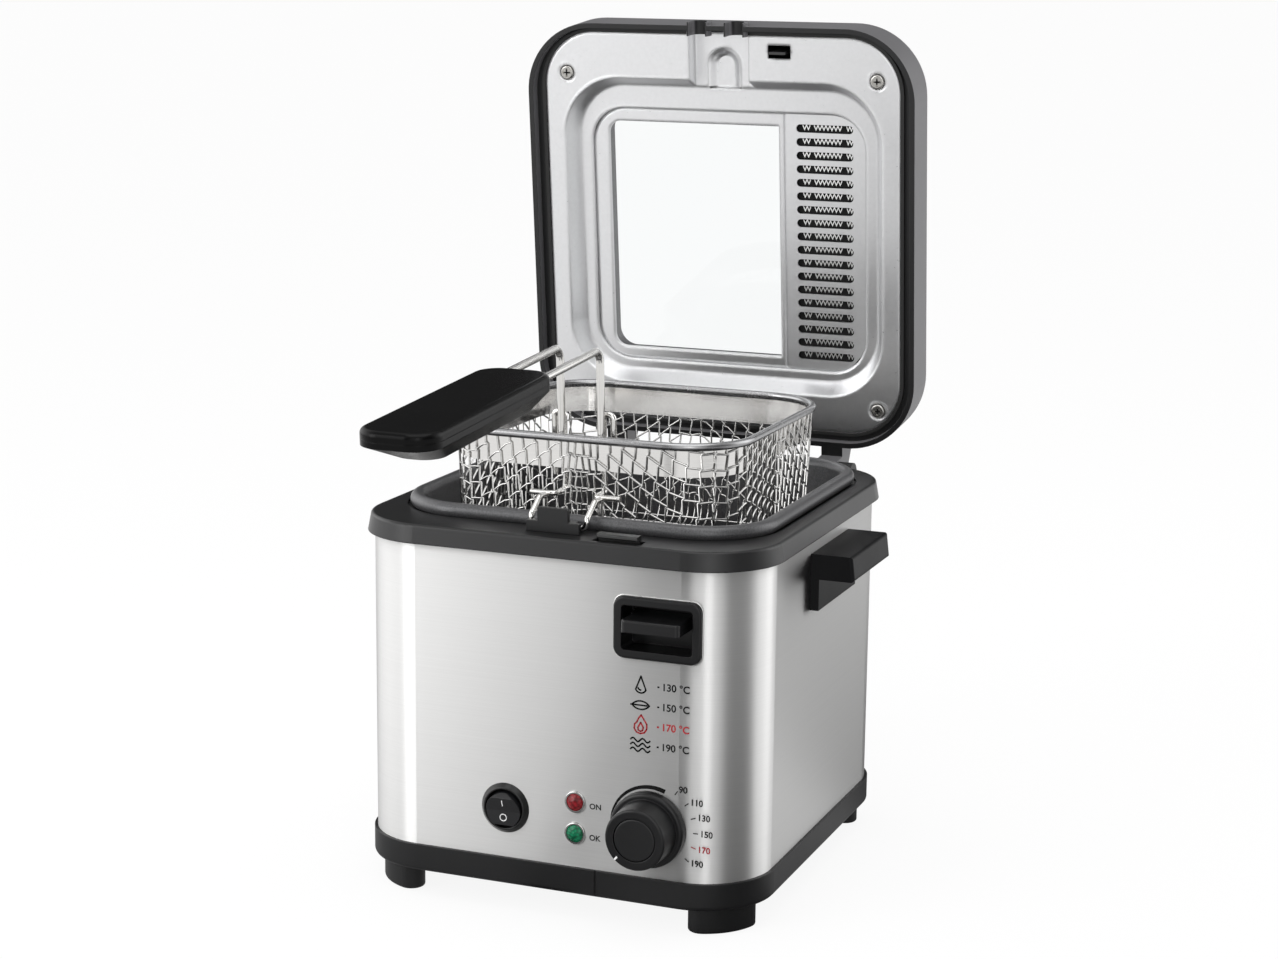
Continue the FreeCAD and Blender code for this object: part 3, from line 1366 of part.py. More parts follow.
def round_the_basket(distance):
    """Point on the basket's outline, from the middle of its right side, and the outward direction there."""
    straight_x = basket_width - 2 * basket_corner_radius
    straight_y = basket_depth - 2 * basket_corner_radius
    quarter = math.pi * basket_corner_radius / 2.0
    runs = [(straight_y, quarter), (straight_x, quarter), (straight_y, quarter), (straight_x, quarter)]
    left = (distance + straight_y / 2.0) % (2 * (straight_x + straight_y) + 4 * quarter)
    corners = [(1, 1), (-1, 1), (-1, -1), (1, -1)]
    for turn, (run, bend) in enumerate(runs):
        facing = math.pi / 2.0 * turn
        corner = Vector(corners[turn][0] * straight_x / 2.0, basket_mid_y + corners[turn][1] * straight_y / 2.0, 0)
        if left < run:
            outward = Vector(math.cos(facing), math.sin(facing), 0)
            heading = Vector(-outward.y, outward.x, 0)
            return corner + outward * basket_corner_radius - heading * (run - left), outward
        left -= run
        if left < bend:
            angle = facing + left / basket_corner_radius
            outward = Vector(math.cos(angle), math.sin(angle), 0)
            return corner + outward * basket_corner_radius, outward
        left -= bend
    return round_the_basket(0.0)


def side_gaps(top):
    """Rows of gaps round the basket's walls, each row shifted by half a cell."""
    low = basket_bottom_z + basket_bottom_round
    row_pitch = (top - low) / (mesh_rows + 0.5)
    around = 2 * (basket_width + basket_depth) + (2 * math.pi - 8) * basket_corner_radius
    cell = around / mesh_cells_round
    tip = row_pitch / 3.0
    straight = row_pitch - tip
    gaps = []
    for row in range(mesh_rows):
        z = low + row_pitch * (row + 0.75)
        for index in range(mesh_cells_round):
            place, outward = round_the_basket(cell * (index + 0.5 * (row % 2)))
            sideways = Vector(-outward.y, outward.x, 0)
            centre = Vector(place.x, place.y, z) + outward * 2.0
            face = six_sided(centre, cell - mesh_bar_width, straight - mesh_bar_width / 2.0,
                             tip - mesh_bar_width / 6.0, sideways, Vector(0, 0, 1))
            gaps.append(face.extrude(outward * -14.0))
    return gaps


def floor_gaps():
    """Net of gaps in the basket's flat floor."""
    edge = mesh_inset() + basket_taper + basket_bottom_round
    around = 2 * (basket_width + basket_depth) + (2 * math.pi - 8) * basket_corner_radius
    cell = around / mesh_cells_round
    flat_x = basket_width - 2 * edge
    flat_y = basket_depth - 2 * edge
    columns = int(flat_x / cell)
    row_pitch = cell * 0.87
    rows = int(flat_y / row_pitch)
    gaps = []
    for row in range(rows):
        count = columns - row % 2 - (2 if row in (0, rows - 1) else 0)
        for index in range(count):
            x = (index - (count - 1) / 2.0) * cell
            y = basket_mid_y + (row - (rows - 1) / 2.0) * row_pitch
            face = six_sided(Vector(x, y, basket_bottom_z - 2.0), cell - mesh_bar_width, row_pitch * 2 / 3 - 1.2,
                             row_pitch / 3 - 0.4, Vector(1, 0, 0), Vector(0, 1, 0))
            gaps.append(face.extrude(Vector(0, 0, 6.0)))
    return gaps


def basket_band():
    """Flat steel band inside the top of the wire cloth."""
    top = basket_rim_z - basket_rim_wire / 2.0
    low = top - band_height
    rate = basket_taper / (top - basket_bottom_z - basket_mesh_wall)
    start = mesh_inset() + basket_mesh_wall + weld_gap
    outer = tapered(basket_outline(start + rate * band_height, low), basket_outline(start, top))
    inner = tapered(basket_outline(start + rate * band_height + band_sheet, low),
                    basket_outline(start + band_sheet, top))
    return outer.cut(inner)


def handle_leg_y(z):
    """Place of the leaning handle legs by height; they touch the rim at its middle."""
    return handle_wire_y - (z - basket_rim_z) * math.tan(math.radians(handle_lean))


def handle_direction():
    angle = math.radians(handle_slope)
    return Vector(0, -math.cos(angle), -math.sin(angle))


def handle_wires():
    wires = []
    for sign in (-1, 1):
        x = sign * handle_wire_x
        bend = Vector(x, handle_leg_y(handle_bend_z), handle_bend_z)
        end = bend + handle_direction() * (grip_start + grip_insert)
        low = Vector(x, handle_leg_y(handle_wire_low_z), handle_wire_low_z)
        path = bent_path([low, bend, end], [handle_bend_radius])
        wires.append(wire_along(path, handle_wire))
    return Part.makeCompound(wires)


def grip_place(shape):
    """Move a grip half from its level drawing to the end of the handle wires."""
    moved = shape.copy()
    bend_y = handle_leg_y(handle_bend_z)
    moved.translate(Vector(0, bend_y - grip_start - grip_length / 2.0, handle_bend_z))
    moved.rotate(Vector(0, bend_y, handle_bend_z), Vector(1, 0, 0), handle_slope)
    return moved


def grip_top():
    half = slab(grip_width, grip_length, grip_corner_radius, 0.0, grip_above)
    half = half.makeFillet(grip_round, level_edges(half, grip_above))
    return grip_place(half).cut(handle_wires())


def grip_bottom():
    """Boat-shaped lower half, drawn in more at the tip than at the wires."""
    low = rounded_outline(grip_width - 2 * grip_belly_inset, grip_length - grip_tip_inset - grip_rear_inset,
                          grip_corner_radius - 2.0, -grip_below, 0.0, (grip_tip_inset - grip_rear_inset) / 2.0)
    middle = rounded_outline(grip_width, grip_length, grip_corner_radius, -grip_side_height)
    belly = tapered(low, middle)
    belly = belly.makeFillet(grip_round, level_edges(belly, -grip_below))
    upper = slab(grip_width, grip_length, grip_corner_radius, -grip_side_height, 0.0)
    half = fused([belly, upper])
    return grip_place(half).cut(handle_wires())


def hanger_y(z):
    """The hangers lie against the back of the handle's legs."""
    return handle_leg_y(z) + (handle_wire + hanger_wire) / 2.0 + weld_gap


def basket_hangers():
    """Two bent wires behind the handle's legs, each with a foot that reaches out through the wire cloth."""
    wires = []
    top = basket_top_z + hanger_arch
    for sign in (-1, 1):
        outer_x = sign * hanger_x
        inner_x = sign * handle_wire_x
        foot_x = inner_x + sign * hanger_foot
        points = [Vector(outer_x, hanger_y(hanger_inner_z), hanger_inner_z), Vector(outer_x, hanger_y(top), top),
                  Vector(inner_x, hanger_y(top), top), Vector(inner_x, hanger_y(hanger_low_z), hanger_low_z),
                  Vector(inner_x, hanger_outer_y, hanger_low_z), Vector(foot_x, hanger_outer_y, hanger_low_z)]
        bend = hanger_bend_radius
        wires.append(wire_along(bent_path(points, [bend, bend, bend, bend]), hanger_wire))
    return Part.makeCompound(wires)


def hanger_passages():
    """Room in the wire cloth for the hangers' feet."""
    reach = hanger_y(hanger_low_z) - hanger_outer_y
    return [rod(hanger_wire + 2 * hanger_room, reach, Vector(sign * handle_wire_x, hanger_outer_y, hanger_low_z),
                Vector(0, 1, 0)) for sign in (-1, 1)]


# Drain hook and guard tab on the collar
def drain_hook():
    """One bent wire: two hooks over the tank's bead, joined by a bar behind the guard tab."""
    front = drain_front_y
    points = []
    for sign, order in ((-1, 1), (1, -1)):
        x = sign * drain_x
        side = [Vector(x, drain_leg_y, drain_leg_low_z), Vector(x, drain_leg_y, drain_arch_z),
                Vector(x, drain_leg_y - drain_arch_length, drain_arch_z), Vector(x, front, drain_front_z),
                Vector(x, front, drain_bar_z)]
        points += side[::order]
    bends = [drain_arch_bend, drain_arch_bend, drain_bend_radius, drain_bend_radius]
    return wire_along(bent_path(points, bends + bends[::-1]), drain_wire)


def guard_tab():
    """Stepped plate that the handle wires straddle, with the saddle that holds the drain hook's bar."""
    y_low = tab_y - tab_thickness / 2.0
    y_high = tab_y + tab_thickness / 2.0
    low = block(-tab_width / 2, tab_width / 2, y_low, y_high, collar_top_z, collar_top_z + tab_low_height)
    high = block(-tab_top_width / 2, tab_top_width / 2, y_low, y_high, collar_top_z, collar_top_z + tab_height)
    upright = [e for e in high.Edges if abs(e.tangentAt(e.FirstParameter).y) > 0.9 and e.CenterOfMass.z > collar_top_z + 1]
    high = high.makeFillet(1.2, upright)
    saddle_back = drain_front_y + drain_wire / 2.0 - slip_gap
    saddle = block(-saddle_width / 2, saddle_width / 2, y_high, saddle_back, collar_top_z, collar_top_z + saddle_height)
    return fused([low, high, saddle]).cut(drain_hook())


# Build every node
parts["outer_housing"] = make_housing()
parts["base_tray"] = base_tray()
parts.update(make_feet())
parts["top_collar"] = make_collar()
parts["oil_tank"] = make_tank()
parts["heating_element"] = make_element()
parts["element_terminals"] = element_terminals()
parts["tank_posts"] = tank_posts()
parts["heat_shield"] = heat_shield()
parts["thermostat_bulb"] = thermostat_bulb()
parts["capillary_tube"] = capillary_tube()
parts["thermal_cutout"] = thermal_cutout()
parts["terminal_block"] = terminal_block()
parts["cord_gland"] = cord_gland()
parts["switch_housing"] = switch_housing()
parts["switch_rocker"] = switch_rocker()
lamp_high = control_row_z + lamp_pitch_z / 2.0
lamp_low = control_row_z - lamp_pitch_z / 2.0
parts["lamp_red"] = lamp_lens(lamp_high)
parts["lamp_green"] = lamp_lens(lamp_low)
parts["lamp_rings"] = Part.makeCompound([lamp_ring(lamp_high), lamp_ring(lamp_low)])
parts["control_knob"] = control_knob()
parts["knob_cap"] = knob_cap()
parts["thermostat_spindle"] = thermostat_spindle()
parts["thermostat_body"] = thermostat_body()
parts["latch_bezel"] = latch_bezel()
parts["latch_lever"] = latch_lever()
parts["latch_hook"] = latch_hook()
spring_shape, spring_base, spring_height = latch_spring()
parts["latch_spring"] = spring_shape
parts["latch_spring_seat"] = spring_seat(spring_base, spring_height)
right_handle = side_handle()
parts["side_handle_right"] = right_handle
parts["side_handle_left"] = mirrored(right_handle)
parts["lid_shell"] = opened(fused([lid_shell(), hinge_arm(-1), hinge_arm(1)]))
parts["lid_plate"] = opened(lid_plate())
parts["lid_gasket"] = opened(lid_gasket())
parts["window_glass"] = opened(window_glass())
parts["window_trim"] = opened(window_trim())
parts["vent_grille"] = opened(vent_grille())
parts["filter_pad"] = opened(filter_pad())
parts["lid_screws"] = Part.makeCompound([opened(screw) for screw in lid_screws()])
parts["lid_catch"] = opened(lid_catch())
parts["hinge_bracket"] = hinge_bracket()
parts["hinge_pin"] = hinge_pin()
parts["hinge_spring_right"] = hinge_spring()
parts["hinge_spring_left"] = mirrored(parts["hinge_spring_right"])
parts["hinge_screws"] = hinge_screws()
parts["basket_rim"] = basket_rim()
parts["basket_band"] = basket_band()
parts["basket_mesh"] = basket_mesh()
parts["basket_hangers"] = basket_hangers()
parts["handle_wires"] = handle_wires()
parts["grip_top"] = grip_top()
parts["grip_bottom"] = grip_bottom()
parts["drain_hook"] = drain_hook()
parts["guard_tab"] = guard_tab()

# The origin lies on the floor, under the middle of the whole part's box
boxes = [shape.optimalBoundingBox(False) for shape in parts.values()]
middle_y = round((min(box.YMin for box in boxes) + max(box.YMax for box in boxes)) / 2.0, 1)
print("moved along y by", -middle_y)

for name, shape in parts.items():
    placed = shape.copy()
    placed.translate(Vector(0, -middle_y, 0))
    solids = len(placed.Solids)
    print(name, "solids", solids, "valid", placed.isValid(), "volume", round(placed.Volume, 1))
    placed.exportStep("parts/" + name + ".step")
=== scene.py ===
import json
import math

import bmesh
import bpy
from mathutils import Matrix, Vector


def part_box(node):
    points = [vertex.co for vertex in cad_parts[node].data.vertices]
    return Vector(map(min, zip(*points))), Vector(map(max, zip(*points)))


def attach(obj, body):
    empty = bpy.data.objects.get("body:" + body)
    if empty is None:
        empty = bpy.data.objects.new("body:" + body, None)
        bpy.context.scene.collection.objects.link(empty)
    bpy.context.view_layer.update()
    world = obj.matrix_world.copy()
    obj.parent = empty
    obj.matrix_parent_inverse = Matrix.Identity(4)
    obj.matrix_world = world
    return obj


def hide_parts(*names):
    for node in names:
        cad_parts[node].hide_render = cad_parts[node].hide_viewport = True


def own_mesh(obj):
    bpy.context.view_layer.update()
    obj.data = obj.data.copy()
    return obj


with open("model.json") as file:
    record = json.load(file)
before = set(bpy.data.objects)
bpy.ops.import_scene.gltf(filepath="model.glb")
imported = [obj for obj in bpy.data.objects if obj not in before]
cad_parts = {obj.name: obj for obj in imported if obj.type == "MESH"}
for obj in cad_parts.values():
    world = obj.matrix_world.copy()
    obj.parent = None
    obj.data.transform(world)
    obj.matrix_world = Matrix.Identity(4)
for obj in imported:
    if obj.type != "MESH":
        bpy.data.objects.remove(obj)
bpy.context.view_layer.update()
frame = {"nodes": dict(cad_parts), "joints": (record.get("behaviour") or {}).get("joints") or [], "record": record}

# Looks of a domestic deep fryer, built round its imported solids.
# Lengths are metres. X points right, Y to the back, Z up.

MM = 0.001
WIRE_ROUNDNESS = 1

# Camera, as the photograph was taken; its place along Y is measured from the front panel
PANEL_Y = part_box("outer_housing")[0].y
CAMERA_PLACE = Vector((0.44348, PANEL_Y - 1.01127, 0.42648))
CAMERA_RIGHT = Vector((0.92893, 0.37011, 0.01048))
CAMERA_UP = Vector((-0.08454, 0.18448, 0.97919))
CAMERA_BACK = Vector((0.36048, -0.91049, 0.20266))
CAMERA_LENS = 73.87
SENSOR_WIDTH = 36.0

# Print on the front panel; a letter's size and weight are shares of its height,
# and a stroke's overlap is a share of its width
INK_LIFT = 0.06 * MM
LETTER_SIZE = 1.37
LETTER_WEIGHT = 0.028
STROKE_OVERLAP = 0.35
KNOB_CENTRE = (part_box("control_knob")[0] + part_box("control_knob")[1]) / 2
DIAL_NUMBER_RADIUS = 23.4 * MM
DIAL_TEXT_HEIGHT = 2.9 * MM
DIAL_TICK_REACH = (20.4 * MM, 22.4 * MM)
DIAL_TICK_WIDTH = 0.45 * MM
# Number, degrees up from the right, and whether it is red
DIAL_MARKS = (("90", 55, False), ("110", 37, False), ("130", 19, False),
              ("150", 1, False), ("170", -17, True), ("190", -35, False))
DIAL_ARC_SPAN = (222.0, 68.0)
DIAL_ARC_STEPS = 40
DIAL_ARC_INNER = 17.7 * MM
DIAL_ARC_THIN = 0.15 * MM
DIAL_ARC_GROWTH = 1.9 * MM
MENU_ROWS = ("130 °C", "150 °C", "170 °C", "190 °C")
MENU_RED_ROW = 2
MENU_TOP_Z = 111.2 * MM
MENU_PITCH = 8.95 * MM
MENU_SIGN_X = 45.0 * MM
MENU_SIGN_WIDTH = 0.72 * MM
MENU_DOT_X = 52.9 * MM
MENU_DOT_LENGTH = 0.45 * MM
MENU_DOT_WIDTH = 0.75 * MM
MENU_TEXT_X = 54.6 * MM
MENU_TEXT_HEIGHT = 3.3 * MM
LAMP_WORD_X = 21.4 * MM
LAMP_WORD_DROP = 1.2 * MM
LAMP_WORD_HEIGHT = 2.6 * MM

# Marks on the rocker and the knob
ROCKER_FACE = 2.3 * MM
ROCKER_RING_DROP = 3.9 * MM
ROCKER_RING_RADIUS = 1.55 * MM
ROCKER_RING_STEPS = 24
ROCKER_RING_WIRE = 0.22 * MM
ROCKER_LEAN = math.radians(20.0)
ROCKER_VALLEY_DROP = 0.76 * MM
ROCKER_BAR_REACH = (2.6 * MM, 5.6 * MM)
ROCKER_BAR_WIRE = 0.24 * MM
POINTER_TURN = math.radians(227.0)
POINTER_REACH = (11.4 * MM, 13.2 * MM)
POINTER_SINK = 0.35 * MM
POINTER_WIRE = 0.5 * MM

# Studio light: bearing in degrees from the front towards the right, and level
WALL_LIGHTS = ((-180, 0.05), (180, 0.2), (-150, 0.05), (-127, 1.2), (-107, 2.2), (-87, 2.7), (-28, 2.6),
               (-26, 2.3), (-25, 1.9), (-24, 1.5), (-23, 1.0), (-22, 0.4), (-21, 0.08), (-14, 0.05),
               (-8, 0.3), (-2, 1.0), (4, 1.5), (38, 1.4), (48, 0.8), (56, 0.2), (88, 0.2), (97, 0.3),
               (103, 0.7), (109, 1.9), (151, 2.1), (158, 0.6), (161, 0.2))
FLOOR_LIGHTS = ((-180, 0.1), (180, 0.15), (-125, 0.3), (-109, 0.95), (-92, 1.0), (-75, 1.0), (-28, 1.0),
                (-22, 0.96), (-17, 0.85), (-14, 0.7), (-12, 0.4), (-10, 0.08), (-2, 0.08), (3, 0.3), (7, 0.8),
                (12, 0.95), (32, 0.9), (43, 0.8), (51, 0.35), (58, 0.22), (80, 0.22), (88, 0.4), (95, 0.95),
                (137, 1.0), (143, 0.6), (147, 0.25), (156, 0.2))
# Walls are dimmer below HORIZON_TO and give way to the ceiling between two heights, as shares of straight up
HORIZON_TO = 0.14
HORIZON_SHARE = 0.75
CEILING_FROM = 0.45
CEILING_TO = 0.85
CEILING_LIGHT = 0.6
# Floor in reflections, in metres from the middle: dim up to NEAR, full from FAR, and even from EVEN_TO on
FLOOR_REACH = 100.0
FLOOR_WHITE = 0.9
FLOOR_NEAR = 0.12
FLOOR_FAR = 0.4
FLOOR_NEAR_SHARE = 0.4
FLOOR_EVEN_FROM = 0.5
FLOOR_EVEN_TO = 0.8
# Soft boxes: name, place, width, height and power in watts
SOFT_BOXES = (("top light", (0.1, -0.25, 1.5), 1.2, 1.2, 9.0),
              ("left light", (-1.0, -1.2, 0.75), 0.5, 1.2, 5.0),
              ("right light", (0.62, -1.3, 0.6), 0.3, 1.2, 2.0),
              ("rear light", (1.1, 0.95, 0.6), 0.4, 1.2, 1.2))
LIGHT_TARGET = Vector((0.0, PANEL_Y + 0.1, 0.16))

# Basket cloth; CLOTH_SINGLE is the share of the wire's radius that the bent slanting wires have
CLOTH_WIRE = 0.48 * MM
CLOTH_SINGLE = 0.84
CLOTH_BEND = ((0.0, 0.0), (0.3, 0.44), (0.62, 0.84), (1.0, 1.0))
CLOTH_STRAIGHT = ((0.0, 0.0), (1.0, 1.0))
CLOTH_COLUMN = 6.3 * MM
CLOTH_GATHER = 5.6 * MM
CLOTH_ROW = 7.3 * MM
CLOTH_KNOT = 0.9 * MM
CLOTH_PULL = 0.55 * MM
CLOTH_SAG = 38.0 * MM
CLOTH_SAG_REACH = 54.0 * MM
CLOTH_SAG_EVEN = 0.72
CLOTH_UNEVEN = 0.35 * MM
CLOTH_UNEVEN_RATE = 900.0
CLOTH_LEAN = 0.2
CLOTH_LEAN_REACH = 24.0 * MM
CLOTH_SEAM_COLUMN = 3.5 * MM
CLOTH_SEAM_COUNT = 2
CLOTH_CORNER = 30.7 * MM
CLOTH_FOLD = 8.0 * MM
CLOTH_TAPER = 3.0 * MM
# An upright turns into the floor in some steps; rows cross it half way round and at the end of the turn,
# which are places counted from the end of its points
FOLD_STEPS = 4
FOLD_END = -1
FOLD_MIDDLE = FOLD_END - FOLD_STEPS // 2

# Filter strands: spans are shares of a slot's length
STRAND_GAP = 0.4 * MM
STRAND_LEFT = 5.4 * MM
STRAND_RIGHT = 6.2 * MM
STRAND_ENDS = 10.0 * MM
STRAND_FIRST = 7.5 * MM
STRAND_ROW = 6.723 * MM
STRAND_TOOTH = 2.1 * MM
STRAND_RISE = 1.1 * MM
STRAND_HALF = 0.6 * MM
STRAND_SPANS = ((0.1, 0.235), (0.3, 0.79), (0.87, 0.985))

# Cut edge of the panel round the latch
LATCH_CORNER = 4.6 * MM
LATCH_CORNER_STEPS = 8
LATCH_CUT_GAP = 0.2 * MM
LATCH_EDGE_LIFT = 0.1 * MM
LATCH_EDGE_WIRE = 0.34 * MM

# Painted shade in the cross recesses of the liner's screws
CROSS_REACH = 1.25 * MM
CROSS_HALF = 0.34 * MM
CROSS_LIFT = 0.04 * MM
CROSS_FACE = 0.5 * MM

# Arch pressed in the liner's channel
ARCH_HALF = 8.5 * MM
ARCH_FLOOR_HALF = 4.3 * MM
ARCH_DEPTH = 3.0 * MM
ARCH_LIP = 0.05 * MM
ARCH_STEPS = 6
ARCH_ROUND = 24

# Colours and finishes that several pieces share
BLACK = (0.0045, 0.0045, 0.005)
WHITE = (1.0, 1.0, 1.0)
LINER_METAL = (0.72, 0.722, 0.73)
LINER_GRAIN = (500.0, 500.0, 500.0)
LINER_EDGE = 2.2 * MM
PLASTIC_EDGE = 0.6 * MM
EDGE_SAMPLES = 6
EVEN_STRETCH = (1.0, 1.0, 1.0)
# Y part of a face's direction where the lid's grey starts to turn black, and where it is black
LIP_FACING = (-0.55, -0.75)


# Materials
def material(name, base, metallic=0.0, roughness=0.5, **sockets):
    """New material with a plain shader; further sockets are named with underscores for blanks."""
    made = bpy.data.materials.new(name)
    made.use_nodes = True
    shader = shader_of(made)
    shader.inputs["Base Color"].default_value = (*base, 1.0)
    shader.inputs["Metallic"].default_value = metallic
    shader.inputs["Roughness"].default_value = roughness
    for key, value in sockets.items():
        shader.inputs[key.replace("_", " ")].default_value = value
    return made


def shader_of(made):
    """The shader of a material."""
    return made.node_tree.nodes["Principled BSDF"]


def add(made, kind, **values):
    """Add a node and set its properties or input values."""
    node = made.node_tree.nodes.new(kind)
    for key, value in values.items():
        if key in node.inputs:
            node.inputs[key].default_value = value
        else:
            setattr(node, key, value)
    return node


def link(made, source, output, target, socket):
    """Join an output to a socket."""
    made.node_tree.links.new(source.outputs[output], target.inputs[socket])


def rescaled(made, source, output, span, levels=(0.0, 1.0)):
    """Map an output from one span to another."""
    node = add(made, "ShaderNodeMapRange")
    for socket, value in zip(("From Min", "From Max", "To Min", "To Max"), (*span, *levels)):
        node.inputs[socket].default_value = value
    link(made, source, output, node, "Value")
    return node


def maths(made, operation, first, second, clamp=False):
    """Arithmetic on two inputs, each a number or a node with its output."""
    node = add(made, "ShaderNodeMath", operation=operation, use_clamp=clamp)
    for index, value in enumerate((first, second)):
        if isinstance(value, tuple):
            link(made, *value, node, index)
        else:
            node.inputs[index].default_value = value
    return node


def mixed(made, share, first, colour):
    """Blend from a node's colour to a plain one; share and first are nodes with their outputs."""
    blend = add(made, "ShaderNodeMixRGB")
    blend.inputs[2].default_value = (*colour, 1.0)
    link(made, *share, blend, 0)
    link(made, *first, blend, 1)
    return blend


def pattern(made, kind, stretch, **values):
    """Texture on object coordinates, stretched along the axes."""
    place = add(made, "ShaderNodeTexCoord")
    mapping = add(made, "ShaderNodeMapping", Scale=stretch)
    texture = add(made, kind, **values)
    link(made, place, "Object", mapping, "Vector")
    link(made, mapping, "Vector", texture, "Vector")
    return texture


def vary(made, texture, output, socket, low, high):
    """Drive a shader socket by a texture between two values."""
    level = rescaled(made, texture, output, (0.0, 1.0), (low, high))
    link(made, level, "Result", shader_of(made), socket)


def tint(made, texture, output, dark, pale):
    """Drive the base colour by a texture between two colours."""
    ramp = add(made, "ShaderNodeValToRGB")
    ramp.color_ramp.elements[0].color = (*dark, 1.0)
    ramp.color_ramp.elements[1].color = (*pale, 1.0)
    link(made, texture, output, ramp, "Fac")
    link(made, ramp, "Color", shader_of(made), "Base Color")


def shade(base, share):
    """A colour made darker or paler."""
    return tuple(min(1.0, value * share) for value in base)


def grain(made, texture, output, strength, distance):
    """Raise the surface by a texture."""
    bump = add(made, "ShaderNodeBump", Strength=strength, Distance=distance)
    link(made, texture, output, bump, "Height")
    link(made, bump, "Normal", shader_of(made), "Normal")
    return bump


def soften_edges(made, bump, radius):
    """Shade the edges as if they were rounded."""
    edge = add(made, "ShaderNodeBevel", samples=EDGE_SAMPLES, Radius=radius)
    link(made, edge, "Normal", bump, "Normal")


def brushed_steel(name, base, stretch, roughness, spread, edge=0.0):
    """Metal with fine scratches, as long as the stretch makes them."""
    made = material(name, base, 1.0, roughness)
    streaks = pattern(made, "ShaderNodeTexNoise", stretch, Scale=1.0, Detail=4.0, Roughness=0.6)
    vary(made, streaks, "Fac", "Roughness", roughness - spread, roughness + spread)
    tint(made, streaks, "Fac", shade(base, 0.93), shade(base, 1.05))
    bump = grain(made, streaks, "Fac", 0.06, 0.2 * MM)
    if edge:
        soften_edges(made, bump, edge)
    return made


def housing_steel():
    """Sheet brushed level all round, so that its highlights stand upright."""
    made = brushed_steel("brushed housing", (0.72, 0.718, 0.712), (8.0, 8.0, 2600.0), 0.42, 0.04)
    shader = shader_of(made)
    shader.inputs["Anisotropic"].default_value = 1.0
    shader.inputs["Anisotropic Rotation"].default_value = 0.25
    level = add(made, "ShaderNodeTangent", direction_type="RADIAL", axis="Z")
    link(made, level, "Tangent", shader, "Tangent")
    return made


def moulded_plastic(name, base, roughness, grain_size=2600.0, strength=0.12, gloss=0.42):
    """Plastic with a fine spark-eroded grain and slight unevenness."""
    made = material(name, base, 0.0, roughness, Specular_IOR_Level=gloss)
    fine = pattern(made, "ShaderNodeTexNoise", EVEN_STRETCH, Scale=grain_size, Detail=2.0)
    broad = pattern(made, "ShaderNodeTexNoise", EVEN_STRETCH, Scale=26.0, Detail=3.0)
    vary(made, broad, "Fac", "Roughness", roughness - 0.06, roughness + 0.06)
    tint(made, broad, "Fac", shade(base, 0.88), shade(base, 1.15))
    bump = grain(made, fine, "Fac", strength, 0.1 * MM)
    soften_edges(made, bump, PLASTIC_EDGE)
    return made


def lid_cover():
    """Grey outside, with a black lip where it faces the liner."""
    made = moulded_plastic("lid cover", (0.12, 0.118, 0.124), 0.42)
    shader = shader_of(made)
    skin = shader.inputs["Base Color"].links[0].from_node
    place = add(made, "ShaderNodeTexCoord")
    split = add(made, "ShaderNodeSeparateXYZ")
    link(made, place, "Normal", split, "Vector")
    facing = rescaled(made, split, "Y", LIP_FACING)
    blend = mixed(made, (facing, "Result"), (skin, "Color"), BLACK)
    link(made, blend, 0, shader, "Base Color")
    return made


def plated_wire(name, base, roughness):
    """Bright plated metal with faint smears."""
    made = material(name, base, 1.0, roughness)
    smears = pattern(made, "ShaderNodeTexNoise", EVEN_STRETCH, Scale=180.0, Detail=3.0)
    vary(made, smears, "Fac", "Roughness", max(0.03, roughness - 0.05), roughness + 0.08)
    return made


def tank_coating():
    """Dark non-stick coating with a fine metallic speckle."""
    made = material("tank coating", (0.03, 0.031, 0.033), 0.35, 0.36)
    speckle = pattern(made, "ShaderNodeTexNoise", EVEN_STRETCH, Scale=1500.0, Detail=2.0)
    tint(made, speckle, "Fac", (0.02, 0.02, 0.021), (0.13, 0.13, 0.135))
    vary(made, speckle, "Fac", "Roughness", 0.28, 0.44)
    grain(made, speckle, "Fac", 0.1, 0.1 * MM)
    return made


def tinted_lens(name, base):
    """Clear coloured lens with small pyramids pressed into its back."""
    made = material(name, base, 0.0, 0.22, Specular_IOR_Level=0.25)
    facets = pattern(made, "ShaderNodeTexVoronoi", EVEN_STRETCH, Scale=720.0)
    tint(made, facets, "Distance", shade(base, 1.5), shade(base, 0.25))
    grain(made, facets, "Distance", 0.35, 0.6 * MM)
    return made


def window_pane():
    """Clear glass."""
    return material("window pane", (0.97, 0.985, 0.985), 0.0, 0.02, Transmission_Weight=1.0, IOR=1.25)


def ink(name, base):
    """Slightly mottled print; the black one also paints the shade in the screws' cross recesses."""
    made = material(name, base, 0.0, 0.55, Specular_IOR_Level=0.1)
    mottle = pattern(made, "ShaderNodeTexNoise", EVEN_STRETCH, Scale=900.0, Detail=2.0)
    tint(made, mottle, "Fac", shade(base, 0.85), shade(base, 1.15))
    return made


